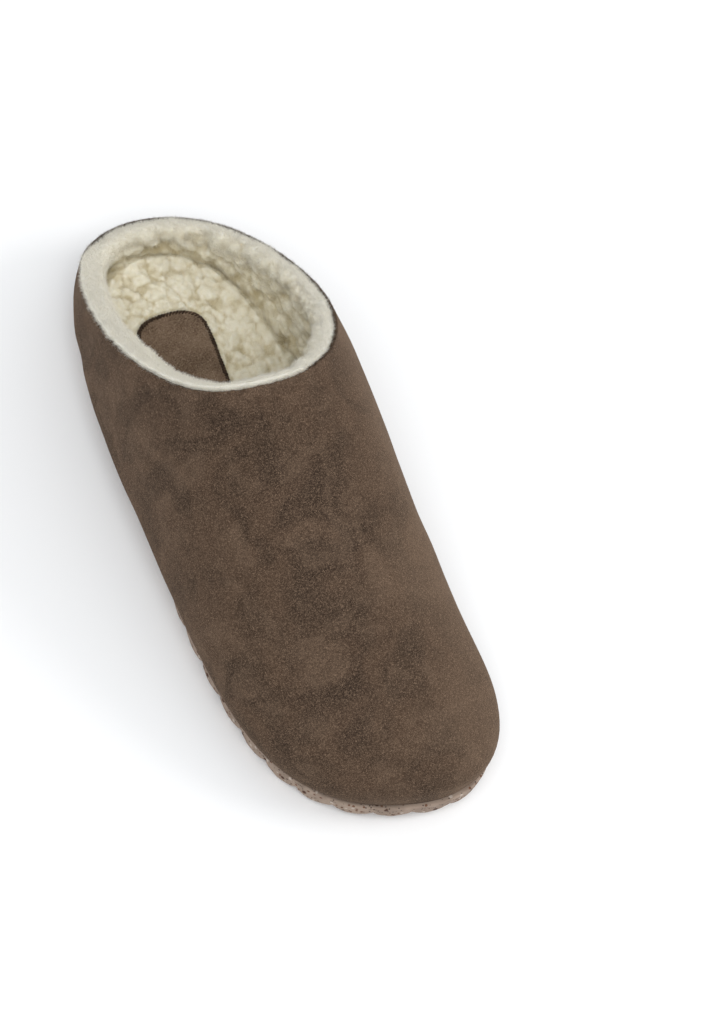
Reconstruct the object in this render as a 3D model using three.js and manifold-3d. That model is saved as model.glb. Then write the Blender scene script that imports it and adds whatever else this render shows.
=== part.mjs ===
// Clog slipper for the right foot: suede upper lined with shearling on a lugged rubber outsole.
// Millimetres, +Z up, toe towards -Y, big toe side towards +X.
import * as THREE from "three";
import Module from "manifold-3d";

const wasm = await Module();
wasm.setup();

// Overall sizes.
const LENGTH = 291; // upper from heel to toe
const BALL_WIDTH = 114; // widest line of the upper
const INSTEP_RISE = 83; // ridge above the outsole at the throat
const BULGE_RISE = 16.5; // widest line above the outsole at the waist
const WAIST_TUCK = 11.7; // how far the upper turns in to the outsole at the waist

// Sole.
const SOLE_THICKNESS = 8;
const SOLE_PROUD = 2; // outsole past the turned in suede at the toe
const SOLE_ROUND = 0.9; // rounded edges of the outsole
const TOE_SPRING = 4;
const WAIST_RISE = 1;
const LUG_PITCH = 17;
const LUG_NOTCH = 3; // height of the notch between two lugs
const LUG_SCALLOP = 1.3; // height of the wide curve either side of a notch
const LUG_RUN = 17; // how far a notch runs in under the sole

// Walls and layers.
const SUEDE_WALL = 1.8;
const FLEECE_DEPTH = 8;
const COLLAR_ROLL = 3.4; // fleece past the suede edge
const INSOLE_THICKNESS = 4;
const SOCK_DEPTH = 6.5;
const SOCK_DISH = 2.5; // edge of the sock above its middle
const GAP = 0.3;

// Heel pad and locks.
const PAD_LENGTH = 62;
const PAD_WIDTH = 34;
const PAD_THICKNESS = 1.6;
const PAD_FROM_HEEL = 43;
const PAD_ROUND = 13; // depth of its round end
const PAD_SIDE = -2; // its middle line to the outer side of the ridge line
const PAD_FRONT = 0.37; // half its width at the front, as a share of PAD_WIDTH
const PAD_CORNER = 6; // radius of its front corners
const LOCK_SIZE = 11; // across one lock
const LOCK_RISE = 4.5; // height of a lock on the footbed
const WALL_LOCK_RISE = 2.6; // height of a lock on the lining

// Widest line of the upper: share of LENGTH from the heel, shares of BALL_WIDTH to either side.
const HEEL_TIP = 0;
const TOE_TIP = 0.162;
const OUTLINE = [
  { along: 0.03, medial: 0.234, lateral: -0.231 },
  { along: 0.1, medial: 0.389, lateral: -0.347 },
  { along: 0.22, medial: 0.481, lateral: -0.433 },
  { along: 0.36, medial: 0.517, lateral: -0.474 },
  { along: 0.5, medial: 0.502, lateral: -0.489 },
  { along: 0.64, medial: 0.493, lateral: -0.492 },
  { along: 0.77, medial: 0.496, lateral: -0.472 },
  { along: 0.88, medial: 0.494, lateral: -0.387 },
  { along: 0.955, medial: 0.416, lateral: -0.213 },
  { along: 0.99, medial: 0.3, lateral: -0.003 },
];

// Lengthwise forms: ridge and collar are shares of INSTEP_RISE above the outsole,
// bulge of BULGE_RISE, tuck of WAIST_TUCK, pile of FLEECE_DEPTH and proud of SOLE_PROUD.
const PROFILE = [
  { along: 0, ridge: 1.33, collar: 0.232, bulge: 1, tuck: 0.57, pile: 1, proud: 0.3 },
  { along: 0.1, ridge: 1.304, collar: 0.365, bulge: 1, tuck: 0.56, pile: 1, proud: 0.3 },
  { along: 0.2, ridge: 1.26, collar: 0.546, bulge: 1, tuck: 0.74, pile: 1, proud: 0.3 },
  { along: 0.3, ridge: 1.19, collar: 0.755, bulge: 1, tuck: 0.94, pile: 1, proud: 0.3 },
  { along: 0.4, ridge: 1.096, collar: 0.978, bulge: 1, tuck: 0.98, pile: 1, proud: 0.3 },
  { along: 0.5, ridge: 0.973, collar: 1.23, bulge: 1, tuck: 0.8, pile: 0.95, proud: 0.3 },
  { along: 0.6, ridge: 0.832, collar: 1.5, bulge: 0.96, tuck: 0.6, pile: 0.85, proud: 0.3 },
  { along: 0.72, ridge: 0.636, collar: 1.8, bulge: 0.84, tuck: 0.52, pile: 0.7, proud: 0.3 },
  { along: 0.84, ridge: 0.456, collar: 2.1, bulge: 0.67, tuck: 0.43, pile: 0.6, proud: 0.35 },
  { along: 0.92, ridge: 0.392, collar: 2.3, bulge: 0.55, tuck: 0.28, pile: 0.55, proud: 0.5 },
  { along: 1, ridge: 0.38, collar: 2.5, bulge: 0.46, tuck: 0.08, pile: 0.55, proud: 1 },
];

// Ridge line in plan, from the heel end to the toe end of the last.
const SPINE = { heel: 0.16, toe: 0.8, heelSide: 0, toeSide: 0 };
const CROWN = { round: 0.25, medial: 1.7, lateral: 3.2 }; // how soon each side falls away from the ridge
const TURN_POWER = 2.2; // how late the side turns in below the widest line
const FAN_FROM = 0.2; // share of LENGTH behind which each section is square to the spine
const FAN_EVEN = 0.7; // share of even steps along the collar ahead of it

// Mesh steps.
const SPINE_STEPS = 18;
const TOE_STEPS = 12;
const HEEL_STEPS = 10;
const TOP_ROWS = 8;
const SPAN_STEPS = 24;

const lerp = THREE.MathUtils.lerp;

// A smooth curve through one column of a table, in millimetres of height or depth.
function tableCurve(rows, column, unit) {
  const x = rows.map((row) => row.along);
  const y = rows.map((row) => row[column] * unit);
  const rise = x.slice(1).map((value, i) => (y[i + 1] - y[i]) / (value - x[i]));
  const slope = x.map((value, i) => {
    if (i === 0) return rise[0];
    if (i === x.length - 1) return rise[i - 1];
    const before = x[i] - x[i - 1];
    const after = x[i + 1] - x[i];
    return (rise[i - 1] * after + rise[i] * before) / (before + after);
  });
  return (distance) => {
    const at = distance / LENGTH;
    if (at <= x[0]) return y[0] + slope[0] * (at - x[0]);
    let i = 0;
    while (i < x.length - 2 && at > x[i + 1]) i += 1;
    const h = x[i + 1] - x[i];
    const t = (at - x[i]) / h;
    const a = (1 + 2 * t) * (1 - t) * (1 - t) * y[i] + t * (1 - t) * (1 - t) * h * slope[i];
    const b = t * t * (3 - 2 * t) * y[i + 1] - t * t * (1 - t) * h * slope[i + 1];
    return a + b;
  };
}

const ridgeRise = tableCurve(PROFILE, "ridge", INSTEP_RISE);
const collarRise = tableCurve(PROFILE, "collar", INSTEP_RISE);
const bulgeAt = tableCurve(PROFILE, "bulge", BULGE_RISE);
const tuckAt = tableCurve(PROFILE, "tuck", WAIST_TUCK);
const pileAt = tableCurve(PROFILE, "pile", FLEECE_DEPTH);
const proudAt = tableCurve(PROFILE, "proud", SOLE_PROUD);

// Height that toe spring and waist add to everything at a distance from the heel.
function liftAt(distance) {
  const at = distance / LENGTH;
  const toe = Math.max(0, (at - 0.78) / 0.22);
  const waist = THREE.MathUtils.clamp((at - 0.38) / 0.2, 0, 1);
  return TOE_SPRING * toe * toe + WAIST_RISE * Math.sin(Math.PI * waist) ** 2;
}

// A closed smooth curve through plan points, as a fine polyline.
function closedCurve(knots) {
  const n = knots.length;
  const next = (i) => (i + 1) % n;
  const last = (i) => (i + n - 1) % n;
  const step = knots.map((p, i) => Math.sqrt(p.distanceTo(knots[next(i)])));
  const slopes = knots.map(() => new THREE.Vector2());
  for (let sweep = 0; sweep < 60; sweep += 1) {
    for (let i = 0; i < n; i += 1) {
      const a = step[last(i)];
      const b = step[i];
      for (const axis of ["x", "y"]) {
        const before = (knots[i][axis] - knots[last(i)][axis]) / a;
        const after = (knots[next(i)][axis] - knots[i][axis]) / b;
        const right = 3 * (b * before + a * after);
        const others = b * slopes[last(i)][axis] + a * slopes[next(i)][axis];
        slopes[i][axis] = (right - others) / (2 * (a + b));
      }
    }
  }
  const points = [];
  for (let i = 0; i < n; i += 1) {
    for (let k = 0; k < SPAN_STEPS; k += 1) {
      const t = k / SPAN_STEPS;
      const s = 1 - t;
      const p = knots[i].clone().multiplyScalar((1 + 2 * t) * s * s);
      p.addScaledVector(slopes[i], t * s * s * step[i]);
      p.addScaledVector(knots[next(i)], t * t * (3 - 2 * t));
      p.addScaledVector(slopes[next(i)], -t * t * s * step[i]);
      points.push(p);
    }
  }
  return points;
}

// Plan points hold the side in x and the distance from the heel in y.
const plan = (share, along) => new THREE.Vector2(share * BALL_WIDTH, along * LENGTH);
const edge = closedCurve([
  plan(HEEL_TIP, 0),
  ...OUTLINE.map((row) => plan(row.medial, row.along)),
  plan(TOE_TIP, 1),
  ...[...OUTLINE].reverse().map((row) => plan(row.lateral, row.along)),
]);
const heelEnd = plan(SPINE.heelSide, SPINE.heel);
const toeEnd = plan(SPINE.toeSide, SPINE.toe);
const edgeLength = [0];
edge.forEach((p, i) => edgeLength.push(edgeLength[i] + p.distanceTo(edge[(i + 1) % edge.length])));

// Point of the ridge line that a plan point belongs to.
function spineFoot(distance) {
  const t = THREE.MathUtils.clamp((distance - heelEnd.y) / (toeEnd.y - heelEnd.y), 0, 1);
  return heelEnd.clone().lerp(toeEnd, t);
}

// Where a line from a point inside meets the outline: place, outward normal, length round.
function reachEdge(from, direction) {
  let best = null;
  edge.forEach((p, i) => {
    const q = edge[(i + 1) % edge.length];
    const run = q.clone().sub(p);
    const off = p.clone().sub(from);
    const cross = direction.x * run.y - direction.y * run.x;
    if (Math.abs(cross) < 1e-12) return;
    const far = (off.x * run.y - off.y * run.x) / cross;
    const t = (off.x * direction.y - off.y * direction.x) / cross;
    if (far <= 0 || t < -1e-9 || t > 1 + 1e-9) return;
    if (best && best.far <= far) return;
    const before = edge[(i + edge.length - 1) % edge.length];
    const after = edge[(i + 2) % edge.length];
    const tangent = q.clone().sub(before).multiplyScalar(1 - t);
    tangent.addScaledVector(after.clone().sub(p), t).normalize();
    best = {
      far,
      at: p.clone().lerp(q, t),
      normal: new THREE.Vector2(tangent.y, -tangent.x),
      round: edgeLength[i] + t * run.length(),
    };
  });
  return best;
}

// Fall of the crown from the ridge (1) to the widest line (0), and back, for one side.
function crownCurve(power) {
  const base = CROWN.round ** power;
  const span = (1 + CROWN.round ** 2) ** (power / 2) - base;
  const fall = (out) => {
    const w = ((out * out + CROWN.round ** 2) ** (power / 2) - base) / span;
    return Math.sqrt(Math.max(0, 1 - w));
  };
  const reach = (height) => {
    const w = 1 - Math.min(1, height) ** 2;
    return Math.sqrt(Math.max(0, (w * span + base) ** (2 / power) - CROWN.round ** 2));
  };
  return { fall, reach };
}
const medialCrown = crownCurve(CROWN.medial);
const lateralCrown = crownCurve(CROWN.lateral);

// Share of the inner side's crown for a direction from the ridge: 1 inwards, 0 outwards.
function medialShare(away) {
  const across = away.x / (away.length() || 1);
  return THREE.MathUtils.smoothstep(across, -0.9, 0.9);
}
function crownAt(away, out) {
  return lerp(lateralCrown.fall(out), medialCrown.fall(out), medialShare(away));
}
function crownReach(away, height) {
  return lerp(lateralCrown.reach(height), medialCrown.reach(height), medialShare(away));
}

// Height of the last's top above the outsole at a plan point.
function topRise(p) {
  const foot = spineFoot(p.y);
  const away = p.clone().sub(foot);
  const far = away.length();
  if (far < 1e-6) return ridgeRise(p.y);
  const out = far / reachEdge(foot, away.clone().normalize()).far;
  const bulge = bulgeAt(p.y);
  return bulge + (ridgeRise(p.y) - bulge) * crownAt(away, Math.min(1, out));
}

// Collar point on the line from a ridge point to the outline.
function collarPoint(foot, rim) {
  const away = rim.clone().sub(foot);
  let p = rim.clone();
  for (let i = 0; i < 12; i += 1) {
    const bulge = bulgeAt(p.y);
    const height = (collarRise(p.y) - bulge) / (ridgeRise(p.y) - bulge);
    p = foot.clone().addScaledVector(away, crownReach(away, height));
  }
  return p;
}

// Columns round the last: up the inner side, round the toe, down the outer side, round the heel.
const columns = [];
function addColumn(foot, direction, side, spineIndex) {
  const hit = reachEdge(foot, direction);
  columns.push({ foot, rim: hit.at, normal: hit.normal, round: hit.round, side, spineIndex });
}
for (const side of [1, -1]) {
  for (let j = 0; j <= SPINE_STEPS; j += 1) {
    const step = side > 0 ? j : SPINE_STEPS - j;
    const foot = heelEnd.clone().lerp(toeEnd, step / SPINE_STEPS);
    addColumn(foot, new THREE.Vector2(side, 0), side, step);
  }
  const fan = side > 0 ? TOE_STEPS : HEEL_STEPS;
  for (let k = 1; k < fan; k += 1) {
    const turn = (side > 0 ? 0 : Math.PI) + (Math.PI * k) / fan;
    const foot = side > 0 ? toeEnd : heelEnd;
    const direction = new THREE.Vector2(Math.cos(turn), Math.sin(turn));
    const half = side > 0 ? Math.cos(turn) : -Math.cos(turn);
    addColumn(foot.clone(), direction, half * side >= -1e-9 ? side : -side, side > 0 ? SPINE_STEPS : 0);
  }
}

// Throat: where the collar line meets the ridge.
let throat = 0.5 * LENGTH;
for (let low = 0.3 * LENGTH, i = 0; i < 40; i += 1) {
  const middle = (low + throat) / 2;
  if (collarRise(middle) < ridgeRise(middle)) low = middle;
  else throat = middle;
}

// Collar line of each side in plan, from the throat back to where the sections are square.
const fanStart = FAN_FROM * LENGTH;
function collarLine(side) {
  const points = [];
  for (let k = 0; k <= 80; k += 1) {
    const distance = lerp(throat, fanStart, (k / 80) ** 2);
    const foot = spineFoot(distance);
    const hit = reachEdge(foot, new THREE.Vector2(side, 0));
    points.push(collarPoint(foot, hit.at));
  }
  const lengths = [0];
  points.slice(1).forEach((p, i) => lengths.push(lengths[i] + p.distanceTo(points[i])));
  return (share) => {
    const goal = share * lengths[lengths.length - 1];
    let i = 0;
    while (i < lengths.length - 2 && lengths[i + 1] < goal) i += 1;
    const t = (goal - lengths[i]) / (lengths[i + 1] - lengths[i]);
    return points[i].clone().lerp(points[i + 1], t);
  };
}
const collarLines = { 1: collarLine(1), [-1]: collarLine(-1) };
const toeRound = reachEdge(toeEnd, new THREE.Vector2(0, 1)).round;
const fanRound = {
  1: reachEdge(spineFoot(fanStart), new THREE.Vector2(1, 0)).round,
  [-1]: reachEdge(spineFoot(fanStart), new THREE.Vector2(-1, 0)).round,
};
for (const column of columns) {
  const span = fanRound[column.side] - toeRound;
  const share = (column.round - toeRound) / span;
  const ahead = column.rim.y > fanStart;
  const eased = FAN_EVEN * share + (1 - FAN_EVEN) * share * share;
  column.collar = ahead
    ? collarLines[column.side](THREE.MathUtils.clamp(eased, 0, 1))
    : collarPoint(column.foot, column.rim);
}

// How far the side has turned in from the outline at a rise above the outsole.
function turnedIn(column, rise) {
  const down = Math.max(0, 1 - rise / bulgeAt(column.rim.y));
  return tuckAt(column.rim.y) * down ** TURN_POWER;
}

// A point in from the outline at a rise above the outsole.
function sidePoint(column, inset, rise) {
  const p = column.rim.clone().addScaledVector(column.normal, -inset);
  return new THREE.Vector3(p.x, p.y, rise);
}

// Outer skin: rows of points from the turned in foot up to the collar.
const footRise = INSOLE_THICKNESS + 2 * GAP;
const sideRows = [
  () => GAP,
  () => footRise,
  (column) => lerp(footRise, bulgeAt(column.rim.y), 0.5),
  (column) => bulgeAt(column.rim.y),
];
const skin = sideRows.map((riseOf) =>
  columns.map((column) => sidePoint(column, turnedIn(column, riseOf(column)), riseOf(column))),
);
for (let k = 1; k <= TOP_ROWS; k += 1) {
  const share = 1 - Math.cos((Math.PI / 2) * (k / TOP_ROWS));
  skin.push(
    columns.map((column) => {
      const p = column.rim.clone().lerp(column.collar, share);
      return new THREE.Vector3(p.x, p.y, topRise(p));
    }),
  );
}
const COLLAR_ROW = skin.length - 1;
const BULGE_ROW = sideRows.length - 1;

// Outward normals of the skin.
const count = columns.length;
const around = (c) => (c + count) % count;
const normals = skin.map((row, r) =>
  row.map((p, c) => {
    const along = row[around(c + 1)].clone().sub(row[around(c - 1)]);
    const up = skin[Math.min(r + 1, COLLAR_ROW)][c].clone().sub(skin[Math.max(r - 1, 0)][c]);
    return along.cross(up).normalize();
  }),
);

// The skin moved inwards by a depth; the two lowest rows keep their height.
function inward(r, c, depth) {
  const p = skin[r][c].clone();
  const n = normals[r][c];
  if (r > 1) return p.addScaledVector(n, -depth);
  const flat = Math.hypot(n.x, n.y);
  p.x -= (n.x / flat) * (depth / flat);
  p.y -= (n.y / flat) * (depth / flat);
  return p;
}
const eachColumn = (make) => columns.map((column, c) => make(c, column));
const levelRow = (r, depth) => eachColumn((c) => inward(r, c, depth));

// Inside of the fleece: the pile thins towards the toe, and hangs nearly straight below the bulge.
const shellDepth = SUEDE_WALL + GAP;
function fleeceInside(r, c) {
  const column = columns[c];
  const depth = shellDepth + pileAt(skin[r][c].y);
  if (r > BULGE_ROW) return inward(r, c, depth);
  const rise = sideRows[r](column);
  return sidePoint(column, depth + 0.5 * turnedIn(column, rise), rise);
}

// Puts a point (side, distance from the heel, rise above the outsole) in the model's frame.
function place(p) {
  return new THREE.Vector3(p.x, LENGTH / 2 - p.y, p.z + SOLE_THICKNESS + liftAt(p.y));
}

// Collects rows of points and the triangles between them into one closed solid.
class Solid {
  constructor() {
    this.points = [];
    this.faces = [];
  }

  row(points) {
    const first = this.points.length;
    this.points.push(...points.map(place));
    return points.map((p, i) => first + i);
  }

  // Joins two rows; facing skins split their quads alike, so the one going down splits the other way.
  band(lower, upper, down = false) {
    for (let c = 0; c < count; c += 1) {
      const d = around(c + 1);
      this.face(lower[c], lower[d], down ? upper[c] : upper[d]);
      this.face(down ? lower[d] : lower[c], upper[d], upper[c]);
    }
  }

  face(a, b, c) {
    if (a !== b && b !== c && a !== c) this.faces.push([a, c, b]);
  }

  // Closes a row with rings towards the ridge line; rise gives the height at each ring share.
  fill(ring, points, rise, up, shares = [0.5]) {
    const rows = shares.map((share) =>
      this.row(
        eachColumn((c, column) => {
          const foot = column.foot;
          const x = lerp(points[c].x, foot.x, share);
          const y = lerp(points[c].y, foot.y, share);
          return new THREE.Vector3(x, y, rise(1 - share, points[c].z));
        }),
      ),
    );
    const spine = [];
    for (let j = 0; j <= SPINE_STEPS; j += 1) {
      const foot = heelEnd.clone().lerp(toeEnd, j / SPINE_STEPS);
      spine.push(new THREE.Vector3(foot.x, foot.y, rise(0, points[0].z)));
    }
    const middle = this.row(spine);
    const last = columns.map((column) => middle[column.spineIndex]);
    const rings = [ring, ...rows, last];
    for (let i = 0; i <= shares.length; i += 1) {
      if (up) this.band(rings[i], rings[i + 1]);
      else this.band(rings[i + 1], rings[i]);
    }
  }

  manifold() {
    const vertProperties = new Float32Array(this.points.flatMap((p) => p.toArray()));
    const triVerts = new Uint32Array(this.faces.flat());
    return new wasm.Manifold(new wasm.Mesh({ numProp: 3, vertProperties, triVerts }));
  }
}

// A wall that goes up outside and down inside, closed at its foot.
function wallSolid(up, down) {
  const solid = new Solid();
  const rows = [...up, ...down].map((points) => solid.row(points));
  rows.forEach((row, i) => solid.band(row, rows[(i + 1) % rows.length], i >= up.length));
  return solid.manifold();
}

function solidMesh(name, solid, color, roughness) {
  const mesh = solid.getMesh();
  const geometry = new THREE.BufferGeometry();
  const positions = new Float32Array(mesh.numVert * 3);
  for (let i = 0; i < mesh.numVert; i += 1) {
    for (let k = 0; k < 3; k += 1) positions[i * 3 + k] = mesh.vertProperties[i * mesh.numProp + k];
  }
  geometry.setAttribute("position", new THREE.BufferAttribute(positions, 3));
  geometry.setIndex(new THREE.BufferAttribute(new Uint32Array(mesh.triVerts), 1));
  geometry.computeVertexNormals();
  const material = new THREE.MeshStandardMaterial({ color, roughness, metalness: 0 });
  const made = new THREE.Mesh(geometry, material);
  made.name = name;
  return made;
}

// Convex solid round a few points in the model's frame.
const hull = (points) => wasm.Manifold.hull(points.map((p) => p.toArray()));

// Upper: the skin and the same skin a wall further in.
const rowsUp = skin.map((row, r) => r);
const rowsDown = [...rowsUp].reverse();
const upper = wallSolid(
  rowsUp.map((r) => skin[r]),
  rowsDown.map((r) => levelRow(r, SUEDE_WALL)),
);

// Lining: from the footbed up behind the suede, over the collar as a roll, and down inside.
function rollPoint(c, turn) {
  const n = normals[COLLAR_ROW][c];
  const edgePoint = skin[COLLAR_ROW][c];
  const up = edgePoint.clone().sub(skin[COLLAR_ROW - 1][c]);
  up.addScaledVector(n, -up.dot(n)).normalize();
  const pile = pileAt(edgePoint.y);
  const depth = shellDepth + (pile * (1 - Math.cos(turn))) / 2;
  return edgePoint.clone().addScaledVector(n, -depth).addScaledVector(up, COLLAR_ROLL * Math.sin(turn));
}
const liningRows = rowsUp.slice(1);
const roll = [30, 70, 110, 150].map((angle) => THREE.MathUtils.degToRad(angle));
const liningUp = [
  ...liningRows.map((r) => levelRow(r, shellDepth)),
  ...roll.map((turn) => eachColumn((c) => rollPoint(c, turn))),
];
const liningDown = [...liningRows].reverse().map((r) => eachColumn((c) => fleeceInside(r, c)));
const liningBody = wallSolid(liningUp, liningDown);

// A lock of wool: a blunt curl that leans along a direction on a surface.
const LOCK_RINGS = [
  { rise: -0.5, out: 0.5, lean: 0 },
  { rise: 0.55, out: 0.42, lean: 0.06 },
  { rise: 1, out: 0.14, lean: 0.16 },
];
function lock(at, out, along, size, height) {
  const side = out.clone().cross(along).normalize();
  const forward = side.clone().cross(out).normalize();
  const corners = [];
  for (const ring of LOCK_RINGS) {
    for (let k = 0; k < 5; k += 1) {
      const turn = (2 * Math.PI * k) / 5;
      const ahead = ring.lean + ring.out * Math.cos(turn);
      const p = at.clone().addScaledVector(out, ring.rise * height);
      p.addScaledVector(forward, ahead * size);
      corners.push(p.addScaledVector(side, ring.out * Math.sin(turn) * size));
    }
  }
  return hull(corners);
}

// Repeatable spread of numbers from 0 to 1.
const spread = (n) => (Math.sin(n * 12.9898) * 43758.5453) % 1;
const positive = (n) => Math.abs(spread(n));

const inside = rowsUp.map((r) => eachColumn((c) => place(r > 0 ? fleeceInside(r, c) : skin[0][c])));
const liningLocks = [];
for (let r = BULGE_ROW + 3; r < COLLAR_ROW; r += 2) {
  for (let c = r % 4; c < count; c += 2) {
    const p = inside[r][c];
    const along = inside[r][around(c + 1)].clone().sub(inside[r][around(c - 1)]);
    if (skin[r][c].y > throat || along.length() < 1.2 * LOCK_SIZE) continue;
    if (fleeceInside(r, c).z < footRise + SOCK_DEPTH + LOCK_SIZE) continue;
    const up = inside[r + 1][c].clone().sub(inside[r - 1][c]);
    const out = along.clone().cross(up).normalize();
    const lean = along.normalize().multiplyScalar(positive(c + r) - 0.5).sub(up.normalize());
    const size = LOCK_SIZE * (0.8 + 0.3 * positive(3 * c + r));
    liningLocks.push(lock(p, out, lean, size, WALL_LOCK_RISE));
  }
}
const lining = wasm.Manifold.union([liningBody, ...liningLocks]);

// Insole: a board that fills the upper's foot.
const wallFoot = [levelRow(0, SUEDE_WALL + GAP), levelRow(1, SUEDE_WALL + GAP)];
const boardShare = INSOLE_THICKNESS / (footRise - GAP);
const boardTop = eachColumn((c) => wallFoot[0][c].clone().lerp(wallFoot[1][c], boardShare));
const insoleSolid = new Solid();
const insoleLow = insoleSolid.row(wallFoot[0]);
const insoleHigh = insoleSolid.row(boardTop);
insoleSolid.band(insoleLow, insoleHigh);
insoleSolid.fill(insoleHigh, boardTop, () => GAP + INSOLE_THICKNESS, true);
insoleSolid.fill(insoleLow, wallFoot[0], () => GAP, false);
const insole = insoleSolid.manifold();

// Sock: shearling on the board, inside the lining, dished towards its edge.
function sockEdge(rise, inset = GAP) {
  return eachColumn((c, column) => {
    let r = 1;
    while (fleeceInside(r + 1, c).z < rise) r += 1;
    const low = fleeceInside(r, c);
    const high = fleeceInside(r + 1, c);
    const p = low.clone().lerp(high, THREE.MathUtils.clamp((rise - low.z) / (high.z - low.z), 0, 1));
    p.x -= column.normal.x * inset;
    p.y -= column.normal.y * inset;
    p.z = rise;
    return p;
  });
}
const sockSolid = new Solid();
const sockTop = footRise + SOCK_DEPTH;
const sockRows = [footRise, lerp(footRise, sockTop, 0.5), sockTop].map(sockEdge);
const SOCK_CREST = 0.6;
const crest = sockEdge(sockTop + SOCK_CREST, 4 * GAP);
const sockLoops = [...sockRows, crest].map((points) => sockSolid.row(points));
sockLoops.slice(1).forEach((loop, i) => sockSolid.band(sockLoops[i], loop));
// The sock is flat under the pad and rises towards its edge.
const SOCK_FLAT = 0.55;
const sockMiddle = sockTop - SOCK_DISH;
function sockRise(out) {
  const t = THREE.MathUtils.clamp((out - SOCK_FLAT) / (1 - SOCK_FLAT), 0, 1);
  return sockMiddle + (SOCK_DISH + SOCK_CREST) * t * t;
}
sockSolid.fill(sockLoops[3], crest, sockRise, true, [0.22, 1 - SOCK_FLAT]);
sockSolid.fill(sockLoops[0], sockRows[0], () => footRise, false);

// Heel pad: round towards the heel, straight ahead of it. It lies flat on the middle of the sock.
const padSide = heelEnd.x + PAD_SIDE;
const padRise = sockMiddle + GAP;
const padOutline = [];
for (let k = 0; k <= 18; k += 1) {
  const turn = (Math.PI * k) / 18;
  const x = -Math.sign(Math.cos(turn)) * Math.abs(Math.cos(turn)) ** (2 / 2.6);
  const y = 1 - Math.sin(turn) ** (2 / 2.6);
  padOutline.push(new THREE.Vector2(padSide + (x * PAD_WIDTH) / 2, PAD_FROM_HEEL + PAD_ROUND * y));
}
for (let k = 0; k <= 13; k += 1) {
  const side = k < 7 ? 1 : -1;
  const turn = (Math.PI * (k < 7 ? k : k - 1)) / 12;
  const x = side * (PAD_FRONT * PAD_WIDTH - PAD_CORNER) + PAD_CORNER * Math.cos(turn);
  const y = PAD_LENGTH - PAD_CORNER * (1 - Math.sin(turn));
  padOutline.push(new THREE.Vector2(padSide + x, PAD_FROM_HEEL + y));
}
const padPlace = new THREE.Matrix4().makeScale(1, -1, 1);
padPlace.setPosition(0, LENGTH / 2, SOLE_THICKNESS + padRise);
const padGeometry = new THREE.ExtrudeGeometry(new THREE.Shape(padOutline), {
  depth: PAD_THICKNESS,
  bevelEnabled: false,
});

// Locks on the sock, in staggered rows round the pad.
const sockLocks = [];
const lockStep = 0.86 * LOCK_SIZE;
const lockRows = Math.floor((0.42 * LENGTH) / lockStep);
for (let i = 0; i < lockRows; i += 1) {
  for (let j = -5; j <= 5; j += 1) {
    const y = 0.05 * LENGTH + (i + 0.2 * spread(i + 5 * j)) * lockStep;
    const foot = spineFoot(y);
    const x = foot.x + (j + 0.5 * (i % 2) + 0.2 * spread(2 * i + j)) * lockStep;
    const away = new THREE.Vector2(x, y).sub(foot);
    const reach = reachEdge(foot, away.clone().normalize());
    const room = reach.far - shellDepth - pileAt(reach.at.y) - 0.5 * tuckAt(reach.at.y) - 3 * GAP;
    if (away.length() > room - 0.6 * LOCK_SIZE) continue;
    const clear = 0.68 * LOCK_SIZE;
    const beside = Math.abs(x - padSide) > PAD_WIDTH / 2 + clear;
    const behind = y < PAD_FROM_HEEL - clear || y > PAD_FROM_HEEL + PAD_LENGTH + clear;
    if (!beside && !behind) continue;
    const at = place(new THREE.Vector3(x, y, sockRise(away.length() / room)));
    const turn = 6 * positive(7 * i + j);
    const along = new THREE.Vector3(Math.cos(turn), Math.sin(turn), 0);
    const size = LOCK_SIZE * (0.95 + 0.2 * positive(i + 3 * j));
    sockLocks.push(lock(at, new THREE.Vector3(0, 0, 1), along, size, LOCK_RISE));
  }
}
const sock = wasm.Manifold.union([sockSolid.manifold(), ...sockLocks]);

// Outsole.
const soleEdge = (inset, rise) =>
  eachColumn((c, column) => {
    const tuck = tuckAt(column.rim.y) - proudAt(column.rim.y) + inset;
    const p = column.rim.clone().addScaledVector(column.normal, -tuck);
    return new THREE.Vector3(p.x, p.y, rise);
  });
const soleRows = [
  soleEdge(SOLE_ROUND, -SOLE_THICKNESS),
  soleEdge(0.3 * SOLE_ROUND, -SOLE_THICKNESS + 0.3 * SOLE_ROUND),
  soleEdge(0, -SOLE_THICKNESS + SOLE_ROUND),
  soleEdge(0, -SOLE_ROUND),
  soleEdge(0.3 * SOLE_ROUND, -0.3 * SOLE_ROUND),
  soleEdge(SOLE_ROUND, 0),
];
const soleSolid = new Solid();
const soleLoops = soleRows.map((points) => soleSolid.row(points));
soleLoops.slice(1).forEach((loop, i) => soleSolid.band(soleLoops[i], loop));
soleSolid.fill(soleLoops[5], soleRows[5], () => 0, true);
soleSolid.fill(soleLoops[0], soleRows[0], () => -SOLE_THICKNESS, false);

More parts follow.
